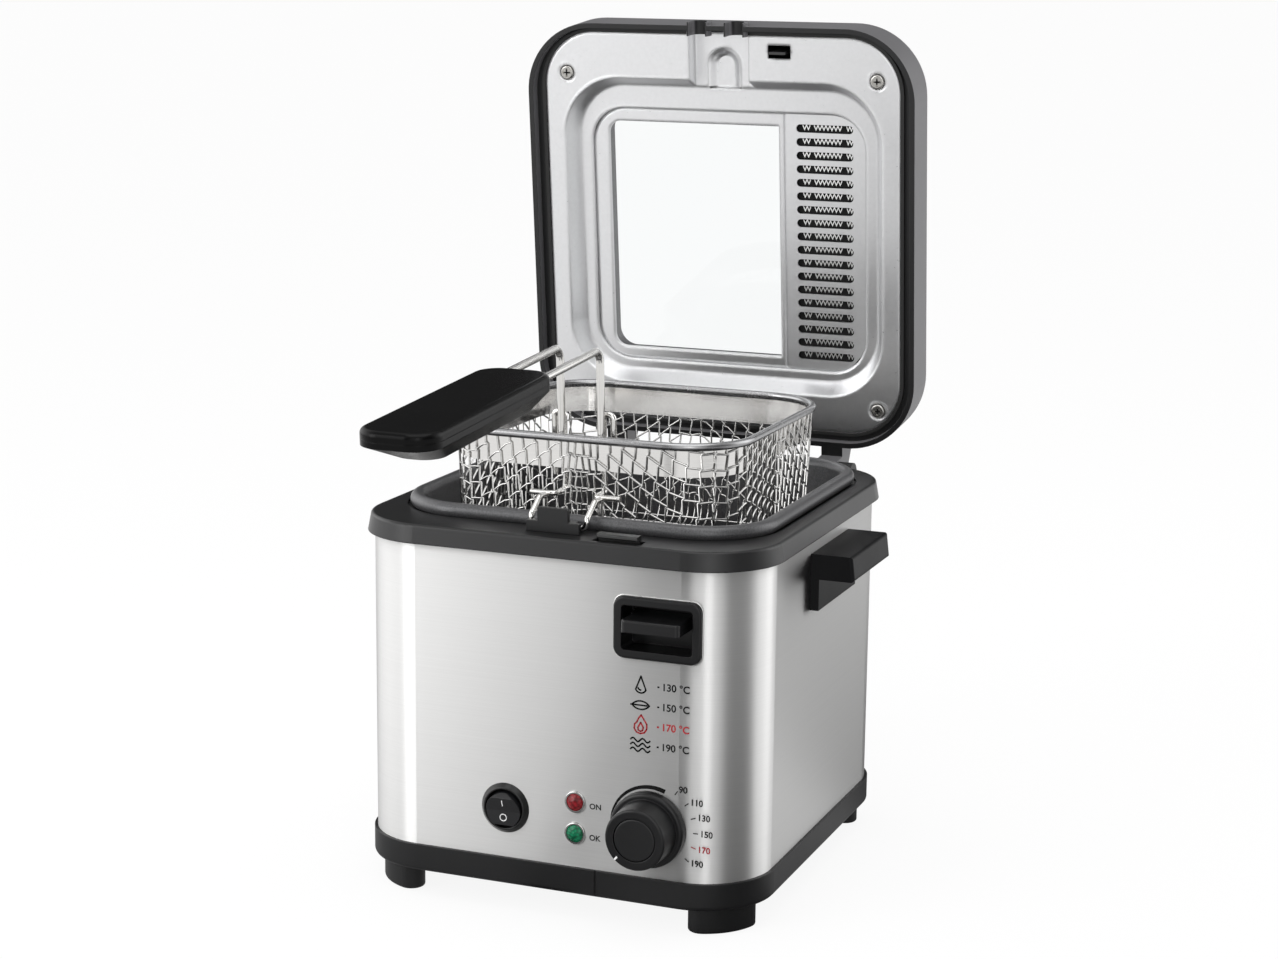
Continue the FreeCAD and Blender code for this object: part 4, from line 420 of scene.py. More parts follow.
FINISHES = {
    "housing_steel": housing_steel(),
    "base_plastic": moulded_plastic("base moulding", BLACK, 0.4),
    "foot_plastic": moulded_plastic("foot moulding", BLACK, 0.42),
    "collar_plastic": moulded_plastic("collar moulding", BLACK, 0.36),
    "tank_coating": tank_coating(),
    "element_metal": brushed_steel("element sheath", (0.3, 0.29, 0.28), (300.0, 300.0, 300.0), 0.5, 0.1),
    "hidden_steel": brushed_steel("plated inner steel", (0.55, 0.55, 0.55), (200.0, 200.0, 200.0), 0.4, 0.1),
    "hidden_plastic": moulded_plastic("inner moulding", (0.09, 0.085, 0.08), 0.55),
    "gland_plastic": moulded_plastic("gland moulding", BLACK, 0.5),
    "switch_plastic": moulded_plastic("switch case", (0.006, 0.006, 0.006), 0.3, 1800.0, 0.04),
    "rocker_plastic": moulded_plastic("rocker", (0.008, 0.008, 0.009), 0.32, 1800.0, 0.04),
    "lens_red": tinted_lens("red lens", (0.17, 0.008, 0.012)),
    "lens_green": tinted_lens("green lens", (0.002, 0.12, 0.053)),
    "ring_chrome": plated_wire("lamp ring", (0.5, 0.5, 0.49), 0.2),
    "knob_plastic": moulded_plastic("knob", BLACK, 0.38, 2200.0, 0.06, 0.34),
    "knob_cap_plastic": moulded_plastic("knob cap", (0.006, 0.006, 0.0065), 0.4, 2200.0, 0.06, 0.34),
    "latch_plastic": moulded_plastic("latch surround", BLACK, 0.3, 2200.0, 0.06, 0.3),
    "lever_plastic": moulded_plastic("latch lever", BLACK, 0.3, 2200.0, 0.06, 0.34),
    "hook_steel": brushed_steel("pressed hook", (0.07, 0.07, 0.07), (90.0, 600.0, 600.0), 0.36, 0.08),
    "spring_steel": plated_wire("spring wire", (0.5, 0.5, 0.5), 0.25),
    "handle_plastic": moulded_plastic("side handle", BLACK, 0.38, gloss=0.08),
    "lid_plastic": lid_cover(),
    "plate_metal": brushed_steel("pressed liner", LINER_METAL, LINER_GRAIN, 0.3, 0.06, LINER_EDGE),
    "gasket_rubber": moulded_plastic("seal strip", (0.008, 0.008, 0.008), 0.6),
    "window_glass": window_pane(),
    "grille_metal": brushed_steel("grille sheet", LINER_METAL, LINER_GRAIN, 0.36, 0.06),
    # The filter pad is near-black matte: painted shade for the depth behind the grille's slots
    "filter_metal": moulded_plastic("filter pad", (0.008, 0.008, 0.008), 0.6, gloss=0.1),
    "screw_steel": plated_wire("screw", (0.42, 0.41, 0.39), 0.24),
    "hinge_plastic": moulded_plastic("hinge bracket", BLACK, 0.48),
    "wire_chrome": plated_wire("polished wire", (0.7, 0.69, 0.67), 0.12),
    "rim_steel": brushed_steel("rim wire", (0.32, 0.32, 0.325), (200.0, 200.0, 200.0), 0.26, 0.06),
    "band_steel": brushed_steel("basket band", (0.74, 0.73, 0.715), (60.0, 60.0, 1400.0), 0.13, 0.05),
    "mesh_chrome": plated_wire("cloth wire", (0.56, 0.555, 0.545), 0.14),
    "grip_plastic": moulded_plastic("grip", (0.002, 0.002, 0.0021), 0.22, 2400.0, 0.05, 0.1),
}
# Black print, also used as painted shade in the cross recesses of the liner's screws
BLACK_PRINT_AND_SHADE = ink("black print and painted shade", (0.006, 0.006, 0.006))
RED_INK = ink("red print", (0.3, 0.02, 0.026))
WHITE_INK = ink("white print", (0.72, 0.72, 0.72))


def finish_solids():
    """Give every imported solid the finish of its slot."""
    slots = {row["node"]: row["material_slot"] for row in frame["record"]["subparts"]}
    for node, solid in frame["nodes"].items():
        solid.data.materials.clear()
        solid.data.materials.append(FINISHES[slots[node]])


# Pieces
def piece(name, mesh, finish, body):
    """Put a finished mesh in the scene, riding on a body."""
    made = bpy.data.objects.new(name, mesh)
    bpy.context.scene.collection.objects.link(made)
    made.data.materials.clear()
    made.data.materials.append(finish)
    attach(made, body)
    return made


def form_mesh(name, form):
    """Mesh of a finished form."""
    mesh = bpy.data.meshes.new(name)
    form.to_mesh(mesh)
    form.free()
    return mesh


def curve_mesh(name, curve):
    """Mesh of a curve or of letters, which are then removed."""
    holder = bpy.data.objects.new(name + " holder", curve)
    bpy.context.scene.collection.objects.link(holder)
    bpy.context.view_layer.update()
    mesh = bpy.data.meshes.new_from_object(holder.evaluated_get(bpy.context.evaluated_depsgraph_get()))
    bpy.data.objects.remove(holder)
    bpy.data.curves.remove(curve)
    mesh.name = name
    return mesh


def tube_mesh(name, lines, radius, closed=False, shares=None):
    """Mesh of round wire along lists of points; shares makes some lines thinner."""
    curve = bpy.data.curves.new(name + " path", "CURVE")
    curve.dimensions = "3D"
    curve.bevel_depth = radius
    curve.bevel_resolution = WIRE_ROUNDNESS
    curve.use_fill_caps = True
    for points, share in zip(lines, shares or [1.0] * len(lines)):
        spline = curve.splines.new("POLY")
        spline.points.add(len(points) - 1)
        for knot, place in zip(spline.points, points):
            knot.co = (*place, 1.0)
            knot.radius = share
        spline.use_cyclic_u = closed
    mesh = curve_mesh(name, curve)
    for face in mesh.polygons:
        face.use_smooth = True
    return mesh


def add_patch(form, centre, half_run, half_rise):
    """Flat patch with four sides about a centre, by half its run and half its rise."""
    sides = Matrix((half_run, half_rise, half_run.cross(half_rise))).transposed().to_4x4()
    place = Matrix.Translation(centre) @ sides
    bmesh.ops.create_grid(form, x_segments=1, y_segments=1, size=1.0, matrix=place)


def add_chain(form, points):
    """Edges through a list of points."""
    knots = [form.verts.new(point) for point in points]
    return [form.edges.new(ends) for ends in zip(knots, knots[1:])]


def face_out(form, outward):
    """Turn every face of an open form the way given."""
    form.normal_update()
    for face in form.faces:
        if face.normal.dot(outward) < 0:
            face.normal_flip()


def panel_matrix(x, z):
    """From a drawing in the XY plane to the front panel, at a place on it."""
    return Matrix.Translation((x, PANEL_Y - INK_LIFT, z)) @ Matrix.Rotation(math.pi / 2, 4, "X")


def word_mesh(name, text, height):
    """Flat letters, made a mesh."""
    letters = bpy.data.curves.new(name, "FONT")
    letters.body = text
    letters.size = height * LETTER_SIZE
    letters.offset = height * LETTER_WEIGHT
    letters.align_y = "CENTER"
    return curve_mesh(name, letters)


def print_word(name, text, x, z, height, finish):
    """Letters printed on the panel."""
    mesh = word_mesh(name, text, height)
    mesh.transform(panel_matrix(x, z))
    piece(name, mesh, finish, "base")


def print_strokes(name, strokes, width, x, z, finish):
    """Drawn signs: flat strokes of one width, from lists of points in the panel's plane."""
    form = bmesh.new()
    for points in strokes:
        for first, second in zip(points, points[1:]):
            start = Vector((*first, 0.0))
            end = Vector((*second, 0.0))
            along = (end - start).normalized()
            across = Vector((-along.y, along.x, 0.0))
            half_run = (end - start) / 2 + along * (width * STROKE_OVERLAP)
            add_patch(form, (start + end) / 2, half_run, across * (width / 2))
    mesh = form_mesh(name, form)
    mesh.transform(panel_matrix(x, z))
    piece(name, mesh, finish, "base")


def print_look(red):
    """Ink and slot of red or black print."""
    return (RED_INK, "lens_red") if red else (BLACK_PRINT_AND_SHADE, "knob_plastic")


def arc_points(radius, start, end, steps, centre=(0.0, 0.0)):
    """Points on an arc, in degrees."""
    turns = [math.radians(start + (end - start) * step / steps) for step in range(steps + 1)]
    return [(centre[0] + radius * math.cos(turn), centre[1] + radius * math.sin(turn)) for turn in turns]


# Printed marks on the panel
def print_dial():
    """Numbers and ticks round the knob."""
    for text, angle, red in DIAL_MARKS:
        turn = math.radians(angle)
        x = KNOB_CENTRE.x + DIAL_NUMBER_RADIUS * math.cos(turn)
        z = KNOB_CENTRE.z + DIAL_NUMBER_RADIUS * math.sin(turn)
        finish, slot = print_look(red)
        print_word("dial_number_" + text, text, x, z, DIAL_TEXT_HEIGHT, finish)
        tick = [(reach * math.cos(turn), reach * math.sin(turn)) for reach in DIAL_TICK_REACH]
        name = "dial_tick_" + text
        print_strokes(name, [tick], DIAL_TICK_WIDTH, KNOB_CENTRE.x, KNOB_CENTRE.z, finish)


def print_dial_arc():
    """Band that widens from the lowest setting up to the first number."""
    start, end = DIAL_ARC_SPAN
    inner = []
    outer = []
    for step in range(DIAL_ARC_STEPS + 1):
        share = step / DIAL_ARC_STEPS
        turn = math.radians(start + (end - start) * share)
        spoke = Vector((math.cos(turn), math.sin(turn), 0.0))
        inner.append(spoke * DIAL_ARC_INNER)
        outer.append(spoke * (DIAL_ARC_INNER + DIAL_ARC_THIN + DIAL_ARC_GROWTH * share))
    form = bmesh.new()
    bmesh.ops.bridge_loops(form, edges=add_chain(form, inner) + add_chain(form, outer))
    face_out(form, Vector((0.0, 0.0, 1.0)))
    mesh = form_mesh("dial_arc", form)
    mesh.transform(panel_matrix(KNOB_CENTRE.x, KNOB_CENTRE.z))
    piece("dial_arc", mesh, BLACK_PRINT_AND_SHADE, "base")


def sign_drop():
    """Drop with a curved glint."""
    sides = arc_points(2.6 * MM, 205, 335, 10, (0.0, -0.9 * MM))
    tip = (0.0, 4.0 * MM)
    return [[tip] + sides + [tip], arc_points(1.3 * MM, 200, 270, 4, (0.0, -0.9 * MM))]


def sign_leaf():
    """Leaf lying level, with its vein."""
    upper = arc_points(5.2 * MM, 140, 40, 10, (0.0, -3.3 * MM))
    lower = arc_points(5.2 * MM, -40, -140, 10, (0.0, 3.3 * MM))
    vein = [(-4.6 * MM, 0.0), (3.0 * MM, 0.0)]
    return [upper + lower[:1], lower, vein]


def sign_flame():
    """Flame in a flame."""
    outer = [(0.3, 4.6), (1.6, 2.6), (2.9, 0.6), (2.9, -1.6), (1.9, -3.2), (0.0, -3.8), (-1.9, -3.2),
             (-2.9, -1.6), (-2.7, 0.2), (-1.6, 1.4), (-0.9, 3.0), (0.3, 4.6)]
    inner = [(0.1, 1.2), (1.3, -0.9), (1.0, -2.3), (0.0, -2.8), (-1.0, -2.3), (-1.2, -1.2), (0.1, 1.2)]
    return [[(x * MM, z * MM) for x, z in line] for line in (outer, inner)]


def sign_waves():
    """Three wavy lines."""
    length = 9.0 * MM
    pitch = 2.2 * MM
    swing = 0.8 * MM
    steps = 16
    lines = []
    for row in (-1, 0, 1):
        points = []
        for step in range(steps + 1):
            share = step / steps
            points.append(((share - 0.5) * length, row * pitch + swing * math.sin(share * 4 * math.pi)))
        lines.append(points)
    return lines


def print_menu():
    """Rows of a sign, a dot and a temperature."""
    signs = (sign_drop, sign_leaf, sign_flame, sign_waves)
    dot = [[(0.0, 0.0), (MENU_DOT_LENGTH, 0.0)]]
    for row, text in enumerate(MENU_ROWS):
        z = MENU_TOP_Z - row * MENU_PITCH
        finish, slot = print_look(row == MENU_RED_ROW)
        print_word("menu_text_%d" % row, text, MENU_TEXT_X, z, MENU_TEXT_HEIGHT, finish)
        print_strokes("menu_dot_%d" % row, dot, MENU_DOT_WIDTH, MENU_DOT_X, z, finish)
        print_strokes("menu_sign_%d" % row, signs[row](), MENU_SIGN_WIDTH, MENU_SIGN_X, z, finish)


def print_lamp_words():
    """A word beside each lamp."""
    for node, text in (("lamp_red", "ON"), ("lamp_green", "OK")):
        low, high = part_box(node)
        z = (low.z + high.z) / 2 - LAMP_WORD_DROP
        print_word(node + "_word", text, LAMP_WORD_X, z, LAMP_WORD_HEIGHT, BLACK_PRINT_AND_SHADE)


# Marks that move with the controls
def rocker_marks():
    """White ring on the rocker's lower face and white bar on its upper one."""
    low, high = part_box("switch_rocker")
    middle_x = (low.x + high.x) / 2
    face_y = PANEL_Y - ROCKER_FACE
    ring_z = KNOB_CENTRE.z - ROCKER_RING_DROP
    circle = arc_points(ROCKER_RING_RADIUS, 0, 360, ROCKER_RING_STEPS)[:-1]
    ring = [(middle_x + x, face_y, ring_z + z) for x, z in circle]
    mesh = tube_mesh("rocker_ring", [ring], ROCKER_RING_WIRE, closed=True)
    piece("rocker_ring", mesh, WHITE_INK, "rocker")
    valley_z = KNOB_CENTRE.z - ROCKER_VALLEY_DROP
    bar = [(middle_x, face_y - reach * math.sin(ROCKER_LEAN), valley_z + reach * math.cos(ROCKER_LEAN))
           for reach in ROCKER_BAR_REACH]
    mesh = tube_mesh("rocker_bar", [bar], ROCKER_BAR_WIRE)
    piece("rocker_bar", mesh, WHITE_INK, "rocker")


def knob_pointer():
    """White fill in the notch of the knob's front rim."""
    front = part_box("control_knob")[0].y
    ends = [(KNOB_CENTRE.x + reach * math.cos(POINTER_TURN), front + POINTER_SINK,
             KNOB_CENTRE.z + reach * math.sin(POINTER_TURN)) for reach in POINTER_REACH]
    mesh = tube_mesh("knob_pointer", [ends], POINTER_WIRE)
    piece("knob_pointer", mesh, WHITE_INK, "knob")


# Basket cloth
class Cloth:
    """Outline, columns and rows of the basket's wire cloth."""

    def __init__(self):
        low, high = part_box("basket_mesh")
        self.low_z = low.z + CLOTH_WIRE
        self.top_z = high.z
        self.middle = Vector(((low.x + high.x) / 2, (low.y + high.y) / 2, 0.0))
        self.half_x = (high.x - low.x) / 2 - CLOTH_CORNER - CLOTH_WIRE
        self.half_y = (high.y - low.y) / 2 - CLOTH_CORNER - CLOTH_WIRE

    def walls(self):
        """Each wall's outward direction, run direction, half run and reach from the middle."""
        return ((Vector((0, -1, 0)), Vector((1, 0, 0)), self.half_x, self.half_y),
                (Vector((1, 0, 0)), Vector((0, 1, 0)), self.half_y, self.half_x),
                (Vector((0, 1, 0)), Vector((-1, 0, 0)), self.half_x, self.half_y),
                (Vector((-1, 0, 0)), Vector((0, -1, 0)), self.half_y, self.half_x))

    def inward(self, z):
        """How far the tapered wall stands in from its top edge."""
        return CLOTH_TAPER * (self.top_z - z) / (self.top_z - self.low_z)

    def wall_point(self, wall, run, z):
        """Point of a wall by its run along it; past the half run it goes round the corner."""
        outward, along, half, reach = self.walls()[wall]
        radius = CLOTH_CORNER - self.inward(z)
        if abs(run) <= half:
            place = along * run + outward * (reach + radius)
        else:
            turn = (abs(run) - half) / CLOTH_CORNER
            side = along * math.copysign(1.0, run)
            round_part = (outward * math.cos(turn) + side * math.sin(turn)) * radius
            place = side * half + outward * reach + round_part
        return self.middle + place + Vector((0, 0, z))

    def columns(self, wall):
        """Runs of the upright wires: even on the straight, gathered in the corners."""
        half = self.walls()[wall][2]
        quarter = CLOTH_CORNER * math.pi / 4
        seam = CLOTH_SEAM_COLUMN * (CLOTH_SEAM_COUNT + 0.5) if wall == 0 else 0.0
        count = round((half - seam) / CLOTH_COLUMN)
        runs = [seam + (half - seam) * step / count for step in range(count + 1)]
        if wall == 0:
            runs = [CLOTH_SEAM_COLUMN * (step + 0.5) for step in range(CLOTH_SEAM_COUNT)] + runs
        runs = [-run for run in reversed(runs) if run > 0] + runs
        extra = int(quarter / CLOTH_GATHER)
        for step in range(1, extra + 1):
            bend = half + quarter * step / extra
            runs.insert(0, -bend)
            runs.append(bend)
        return runs

    def sag(self, run):
        """Rows of knots go down evenly away from a wall's middle and level out at its corners."""
        level = CLOTH_SEAM_COLUMN * CLOTH_SEAM_COUNT
        share = min(max(0.0, abs(run) - level) / CLOTH_SAG_REACH, 1.0)
        past = max(0.0, share - CLOTH_SAG_EVEN)
        uneven = CLOTH_UNEVEN * math.sin(run * CLOTH_UNEVEN_RATE)
        return uneven - CLOTH_SAG * (share - past * past / (2 * (1.0 - CLOTH_SAG_EVEN)))


def leaned(cloth, wall, run, z):
    """An upright's run at some height: between middle and corner they close in on the middle going down."""
    end = cloth.walls()[wall][2] + CLOTH_CORNER * math.pi / 4
    share = min(1.0, abs(run) / CLOTH_LEAN_REACH, (end - abs(run)) / CLOTH_LEAN_REACH)
    return run - math.copysign(CLOTH_LEAN * share * (cloth.top_z - z), run)


def cloth_wall_lines(cloth, wall):
    """Upright wires with knots, and the slanting wires between them."""
    runs = cloth.columns(wall)
    bottom = cloth.low_z + CLOTH_FOLD
    rows = int((cloth.top_z - bottom + CLOTH_SAG) / CLOTH_ROW) + 2
    uprights = []
    slants = []
    knots = []
    for run in runs:
        first = cloth.top_z + cloth.sag(run) + CLOTH_SAG
        knots.append([first - row * CLOTH_ROW for row in range(rows)])
    for index, run in enumerate(runs):
        rise = 1.0 if run < 0 else -1.0
        line = [cloth.wall_point(wall, run, cloth.top_z)]
        for z in knots[index]:
            if bottom + CLOTH_KNOT < z < cloth.top_z - CLOTH_KNOT:
                here = leaned(cloth, wall, run, z)
                line.append(cloth.wall_point(wall, here - CLOTH_PULL * rise, z + CLOTH_KNOT / 2))
                line.append(cloth.wall_point(wall, here + CLOTH_PULL * rise, z - CLOTH_KNOT / 2))
        foot = leaned(cloth, wall, run, bottom)
        line.append(cloth.wall_point(wall, foot, bottom))
        line += cloth_fold_points(cloth, wall, foot)
        uprights.append(line)
    for index in range(len(runs) - 1):
        rise = 1.0 if runs[index] < 0 else -1.0
        for row in range(rows):
            start = knots[index][row] + rise * CLOTH_KNOT / 2
            end = knots[index + 1][row] - rise * CLOTH_KNOT / 2
            if min(start, end) > bottom and max(start, end) < cloth.top_z:
                ends = ((leaned(cloth, wall, runs[index], start), start),
                        (leaned(cloth, wall, runs[index + 1], end), end))
                bend = CLOTH_BEND if rise > 0 else CLOTH_STRAIGHT
                slants.append(cloth_slant(cloth, wall, bend, *sorted(ends, key=lambda knot: knot[1])))
        for place in (FOLD_MIDDLE, FOLD_END):
            slants.append([uprights[index][place], uprights[index + 1][place]])
    return uprights, slants


def cloth_slant(cloth, wall, bend, lower, upper):
    """Slanting wire from the lower knot to the upper one, with its bend given as shares of the way."""
    points = []
    for along, up in bend:
        run = lower[0] + (upper[0] - lower[0]) * along
        z = lower[1] + (upper[1] - lower[1]) * up
        points.append(cloth.wall_point(wall, run, z))
    return points


def cloth_fold_points(cloth, wall, run):
    """The wire's turn from the wall into the floor."""
    wall_foot = cloth.wall_point(wall, run, cloth.low_z + CLOTH_FOLD)
    centre = Vector((cloth.middle.x, cloth.middle.y, wall_foot.z))
    inward = centre - wall_foot
    wall_face = cloth.walls()[wall]
    if abs(run) <= wall_face[2]:
        inward = -wall_face[0]
    inward.normalize()
    points = []
    for step in range(1, FOLD_STEPS + 1):
        turn = math.pi / 2 * step / FOLD_STEPS
        points.append(wall_foot + inward * (CLOTH_FOLD * (1 - math.cos(turn)))
                      + Vector((0, 0, -CLOTH_FOLD * math.sin(turn))))
    return points


def cloth_floor_lines(cloth):
    """Wires of the floor: long ones from front to back and slanting ones between."""
    runs = [run for run in cloth.columns(0) if abs(run) <= cloth.half_x]
    reach_y = cloth.half_y + CLOTH_CORNER - CLOTH_TAPER - CLOTH_FOLD
    reach_x = cloth.half_x + CLOTH_CORNER - CLOTH_TAPER - CLOTH_FOLD
    extra = int((reach_x - cloth.half_x) / CLOTH_COLUMN)
    for step in range(1, extra + 1):
        runs.insert(0, -cloth.half_x - step * CLOTH_COLUMN)
        runs.append(cloth.half_x + step * CLOTH_COLUMN)
    lines = []
    corner = CLOTH_CORNER - CLOTH_TAPER - CLOTH_FOLD
    ends = []
    for run in runs:
        past = max(0.0, abs(run) - (reach_x - corner))
        drop = corner - math.sqrt(max(0.0, corner * corner - past * past))
        ends.append(reach_y - drop)
    count = int(2 * reach_y / CLOTH_ROW)
    for index, run in enumerate(runs):
        lines.append([cloth.middle + Vector((run, -ends[index], cloth.low_z)),
                      cloth.middle + Vector((run, ends[index], cloth.low_z))])
        if index + 1 < len(runs):
            for row in range(count):
                y = -reach_y + CLOTH_ROW * (row + 0.5 * (index % 2) + 0.5)
                if abs(y) + CLOTH_ROW / 2 < min(ends[index], ends[index + 1]):
                    slope = CLOTH_ROW / 4 * (-1) ** index
                    lines.append([cloth.middle + Vector((run, y - slope, cloth.low_z)),
                                  cloth.middle + Vector((runs[index + 1], y + slope, cloth.low_z))])
    return lines


def basket_cloth():
    """Wires of the floor and of the four walls, in one piece."""
    cloth = Cloth()
    lines = cloth_floor_lines(cloth)
    singles = []
    for wall in range(4):
        uprights, slants = cloth_wall_lines(cloth, wall)
        lines += uprights
        singles += slants
    shares = [1.0] * len(lines) + [CLOTH_SINGLE if len(line) > 2 else 1.0 for line in singles]
    mesh = tube_mesh("basket_cloth", lines + singles, CLOTH_WIRE, shares=shares)
    made = piece("basket_cloth", mesh, FINISHES["mesh_chrome"], "basket")
    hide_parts("basket_mesh")


# Joints of the record that shapes depend on
def joint(name):
    """A joint by its name."""
    return next(row for row in frame["joints"] if row["name"] == name)


def lid_lean():
    """Tangent of the open lid's lean from upright."""
    return math.tan(math.radians(90.0 - joint("lid_hinge")["range_deg"][1]))


# Filter seen through the grille's slots
def filter_cloth():
    """Flat zigzag strands in front of the filter pad, in the lid's own plane."""
    low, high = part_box("vent_grille")
    lean = lid_lean()
    pad = frame["nodes"]["filter_pad"].data
    front = min(vertex.co.y + vertex.co.z * lean for vertex in pad.vertices) - STRAND_GAP
    left = low.x + STRAND_LEFT
    length = high.x - STRAND_RIGHT - left
    rows = int((high.z - low.z - STRAND_ENDS) / STRAND_ROW)
    half_rise = Vector((0.0, -STRAND_HALF * lean, STRAND_HALF))
    form = bmesh.new()
    for row in range(rows + 1):
        z = low.z + STRAND_FIRST + STRAND_ROW * row
        for start, end in STRAND_SPANS:
            teeth = round((end - start) * length / STRAND_TOOTH)
            half_tooth = (end - start) * length / (4 * teeth)
            for step in range(2 * teeth):
                centre = Vector((left + length * start + half_tooth * (2 * step + 1), front - z * lean, z))
                rise = STRAND_RISE if step % 2 else -STRAND_RISE
                add_patch(form, centre, Vector((half_tooth, -rise * lean, rise)), half_rise)
    strand = plated_wire("filter strand", (0.86, 0.86, 0.85), 0.3)
    piece("filter_cloth", form_mesh("filter_cloth", form), strand, "lid")


# Edge of the panel's cut round the latch
def latch_edge():
    """Bright wire round the latch's surround."""
    low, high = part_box("latch_bezel")
    middle = (low + high) / 2
    half_x = (high.x - low.x) / 2 + LATCH_CUT_GAP - LATCH_CORNER
    half_z = (high.z - low.z) / 2 + LATCH_CUT_GAP - LATCH_CORNER
    points = []
    for side_x, side_z, start in ((1, 1, 0), (-1, 1, 90), (-1, -1, 180), (1, -1, 270)):
        centre = (side_x * half_x, side_z * half_z)
        for x, z in arc_points(LATCH_CORNER, start, start + 90, LATCH_CORNER_STEPS, centre):
            points.append((middle.x + x, PANEL_Y - LATCH_EDGE_LIFT, middle.z + z))
    mesh = tube_mesh("latch_edge", [points], LATCH_EDGE_WIRE, closed=True)
    bright = brushed_steel("cut edge", (0.72, 0.72, 0.71), (400.0, 400.0, 400.0), 0.3, 0.08)
    piece("latch_edge", mesh, bright, "base")


# Spring under the latch's arm, which shortens as the latch goes down; here it keeps its imported shape
def latch_coil():
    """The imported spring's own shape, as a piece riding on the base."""
    mesh = frame["nodes"]["latch_spring"].data.copy()
    made = piece("latch_coil", mesh, FINISHES["spring_steel"], "base")
    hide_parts("latch_spring")
    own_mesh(made)


# Painted shade in the cross recesses of the liner's screws
def screw_cross_shade():
    """Two black bars of painted shade on the head of each screw, where its cross recess is, one screw in each
    corner.
    """
    low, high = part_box("lid_screws")
    middle = (low + high) / 2
    lean = lid_lean()
    form = bmesh.new()
    for side_x in (False, True):
        for side_z in (False, True):
            corner = [vertex.co for vertex in frame["nodes"]["lid_screws"].data.vertices
                      if (vertex.co.x > middle.x) == side_x and (vertex.co.z > middle.z) == side_z]
            front = min(place.y + place.z * lean for place in corner) - CROSS_LIFT
            x = (min(place.x for place in corner) + max(place.x for place in corner)) / 2
            face = [place for place in corner if place.y + place.z * lean < front + CROSS_FACE]
            z = (min(place.z for place in face) + max(place.z for place in face)) / 2
            for half_x, half_z in ((CROSS_REACH, CROSS_HALF), (CROSS_HALF, CROSS_REACH)):
                half_rise = Vector((0.0, -half_z * lean, half_z))
                add_patch(form, Vector((x, front - z * lean, z)), Vector((half_x, 0.0, 0.0)), half_rise)
    # the black bars are painted shade standing in for the hollow of each cross recess
    piece("screw_cross_shade", form_mesh("screw_cross_shade", form), BLACK_PRINT_AND_SHADE, "lid")


# Drafted wall of the arch pressed in the liner's channel
def arch_wall():
    """Outlines that shrink as they go in, joined to a smooth slope."""
    turn = math.atan(lid_lean())
    inward = Vector((0.0, math.cos(turn), math.sin(turn)))
    legs = [vertex.co for vertex in frame["nodes"]["lid_plate"].data.vertices
            if abs(abs(vertex.co.x) - ARCH_HALF) < ARCH_LIP]
    front = min(place.dot(inward) for place in legs)
    lip = [place.z for place in legs if place.dot(inward) < front + ARCH_LIP]
    high, low = max(lip), min(lip)
    form = bmesh.new()
    rows = []
    for step in range(ARCH_STEPS + 1):
        share = step / ARCH_STEPS
        half = ARCH_HALF - ARCH_LIP + (ARCH_FLOOR_HALF - ARCH_HALF) * share
        sink = ARCH_LIP + ARCH_DEPTH * (1 - math.cos(share * math.pi)) / 2
        outline = [(half, low)] + arc_points(half, 0, 180, ARCH_ROUND, (0.0, high)) + [(-half, low)]
        flat = [Vector((x, (front - z * inward.z) / inward.y, z)) for x, z in outline]
        rows.append(add_chain(form, [place + inward * sink for place in flat]))
    for outer, inner in zip(rows, rows[1:]):
        bmesh.ops.bridge_loops(form, edges=outer + inner)
    face_out(form, -inward)
    for face in form.faces:
        face.smooth = True
    piece("arch_wall", form_mesh("arch_wall", form), FINISHES["plate_metal"], "lid")


# Stage: floor, light and camera
def set_stage():
    """Wide floor under the fryer."""
    form = bmesh.new()
    bmesh.ops.create_grid(form, x_segments=1, y_segments=1, size=FLOOR_REACH)
    mesh = form_mesh("floor", form)
    floor = bpy.data.objects.new("floor", mesh)
    bpy.context.scene.collection.objects.link(floor)
    mesh.materials.append(pale_floor())


def pale_floor():
    """White for the camera and through glass; metal sees it lit by the bearing of each place."""
    made = material("pale floor", (0.88, 0.88, 0.88), 0.0, 0.7)
    rays = add(made, "ShaderNodeLightPath")
    through_glass = (rays, "Is Transmission Ray")
    place = add(made, "ShaderNodeNewGeometry")
    away = add(made, "ShaderNodeVectorMath", operation="LENGTH")
    link(made, place, "Position", away, 0)
    levels = bearing_levels(made, place, "Position", FLOOR_LIGHTS)
    reach = rescaled(made, away, "Value", (FLOOR_NEAR, FLOOR_FAR), (FLOOR_NEAR_SHARE, 1.0))
    dimmed = maths(made, "MULTIPLY", (levels, "Color"), (reach, "Result"))
    beyond = rescaled(made, away, "Value", (FLOOR_EVEN_FROM, FLOOR_EVEN_TO))
    evened = add(made, "ShaderNodeMix", B=1.0)
    link(made, beyond, "Result", evened, "Factor")
    link(made, dimmed, 0, evened, "A")
    mirrored = maths(made, "SUBTRACT", (rays, "Is Glossy Ray"), through_glass, clamp=True)
    strength = add(made, "ShaderNodeMix", A=1.0)
    link(made, mirrored, 0, strength, "Factor")
    link(made, evened, "Result", strength, "B")
    glow = add(made, "ShaderNodeEmission")
    link(made, strength, "Result", glow, "Strength")
    plain = maths(made, "MAXIMUM", (rays, "Is Camera Ray"), through_glass)
    even = maths(made, "MULTIPLY", (plain, 0), FLOOR_WHITE)
    seen = maths(made, "MAXIMUM", (even, 0), (mirrored, 0))
    blend = add(made, "ShaderNodeMixShader")
    link(made, seen, 0, blend, "Fac")
    link(made, shader_of(made), 0, blend, 1)
    link(made, glow, 0, blend, 2)
    link(made, blend, 0, made.node_tree.nodes["Material Output"], "Surface")
    return made


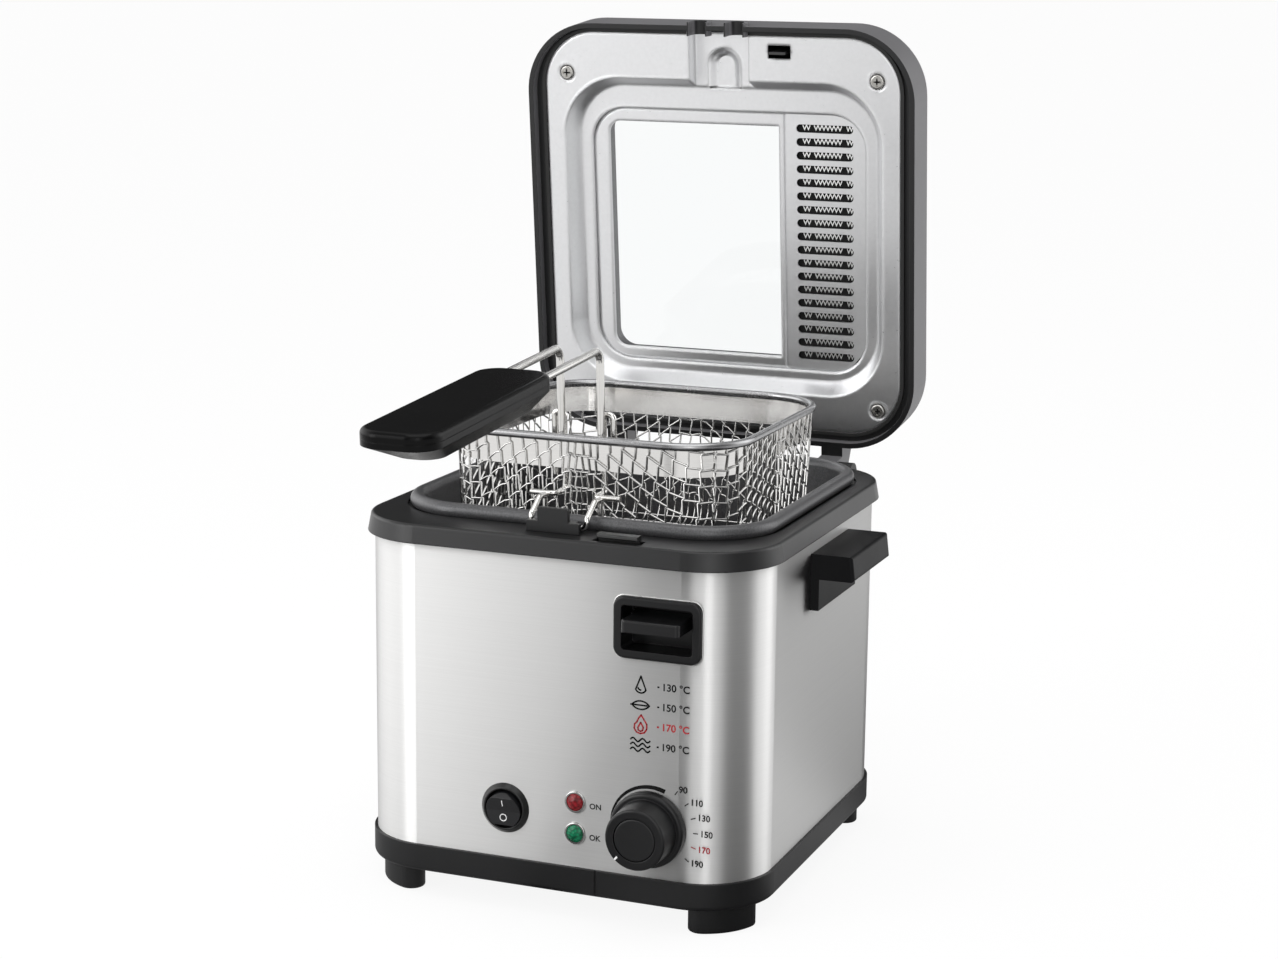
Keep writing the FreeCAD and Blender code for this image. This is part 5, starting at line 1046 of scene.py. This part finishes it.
def bearing_levels(made, place, output, stops):
    """Ramp of light levels by the bearing of a direction or a place."""
    split = add(made, "ShaderNodeSeparateXYZ")
    link(made, place, output, split, "Vector")
    front = maths(made, "MULTIPLY", (split, "Y"), -1.0)
    bearing = maths(made, "ARCTAN2", (split, "X"), (front, 0))
    share = rescaled(made, bearing, 0, (-math.pi, math.pi))
    panels = add(made, "ShaderNodeValToRGB")
    link(made, share, "Result", panels, "Fac")
    ramp = panels.color_ramp
    for index, (degrees, level) in enumerate(stops):
        position = (degrees + 180.0) / 360.0
        stop = ramp.elements[index] if index < 2 else ramp.elements.new(position)
        stop.position = position
        stop.color = (level, level, level, 1.0)
    return panels


def set_world():
    """Walls of several levels, dimmer low down, with an even light above; the camera sees white."""
    world = bpy.data.worlds.new("studio")
    world.use_nodes = True
    bpy.context.scene.world = world
    place = add(world, "ShaderNodeTexCoord")
    walls = bearing_levels(world, place, "Generated", WALL_LIGHTS)
    split = add(world, "ShaderNodeSeparateXYZ")
    link(world, place, "Generated", split, "Vector")
    low = rescaled(world, split, "Z", (0.0, HORIZON_TO), (HORIZON_SHARE, 1.0))
    dimmed = add(world, "ShaderNodeVectorMath", operation="SCALE")
    link(world, walls, "Color", dimmed, 0)
    link(world, low, "Result", dimmed, "Scale")
    height = rescaled(world, split, "Z", (CEILING_FROM, CEILING_TO))
    ceiling = (CEILING_LIGHT, CEILING_LIGHT, CEILING_LIGHT)
    room = mixed(world, (height, "Result"), (dimmed, "Vector"), ceiling)
    rays = add(world, "ShaderNodeLightPath")
    seen = maths(world, "MAXIMUM", (rays, "Is Camera Ray"), (rays, "Is Transmission Ray"))
    white = mixed(world, (seen, 0), (room, 0), WHITE)
    link(world, white, 0, world.node_tree.nodes["Background"], "Color")


def set_lights():
    """Soft boxes, turned to the middle of the body."""
    for name, place, width, height, power in SOFT_BOXES:
        lamp = bpy.data.lights.new(name, "AREA")
        lamp.shape = "RECTANGLE"
        lamp.size = width
        lamp.size_y = height
        lamp.energy = power
        made = bpy.data.objects.new(name, lamp)
        bpy.context.scene.collection.objects.link(made)
        made.location = place
        made.rotation_euler = (LIGHT_TARGET - Vector(place)).to_track_quat("-Z", "Y").to_euler()


def set_camera():
    """Camera where the photograph was taken from."""
    lens = bpy.data.cameras.new("photo camera")
    lens.lens = CAMERA_LENS
    lens.sensor_width = SENSOR_WIDTH
    lens.sensor_fit = "HORIZONTAL"
    made = bpy.data.objects.new("photo camera", lens)
    bpy.context.scene.collection.objects.link(made)
    turn = Matrix((CAMERA_RIGHT, CAMERA_UP, CAMERA_BACK)).transposed().to_4x4()
    made.matrix_world = Matrix.Translation(CAMERA_PLACE) @ turn
    bpy.context.scene.camera = made


finish_solids()
basket_cloth()
filter_cloth()
latch_edge()
latch_coil()
screw_cross_shade()
arch_wall()
print_dial()
print_dial_arc()
print_menu()
print_lamp_words()
rocker_marks()
knob_pointer()
set_stage()
set_world()
set_lights()
set_camera()
bpy.context.scene.view_settings.view_transform = "Standard"
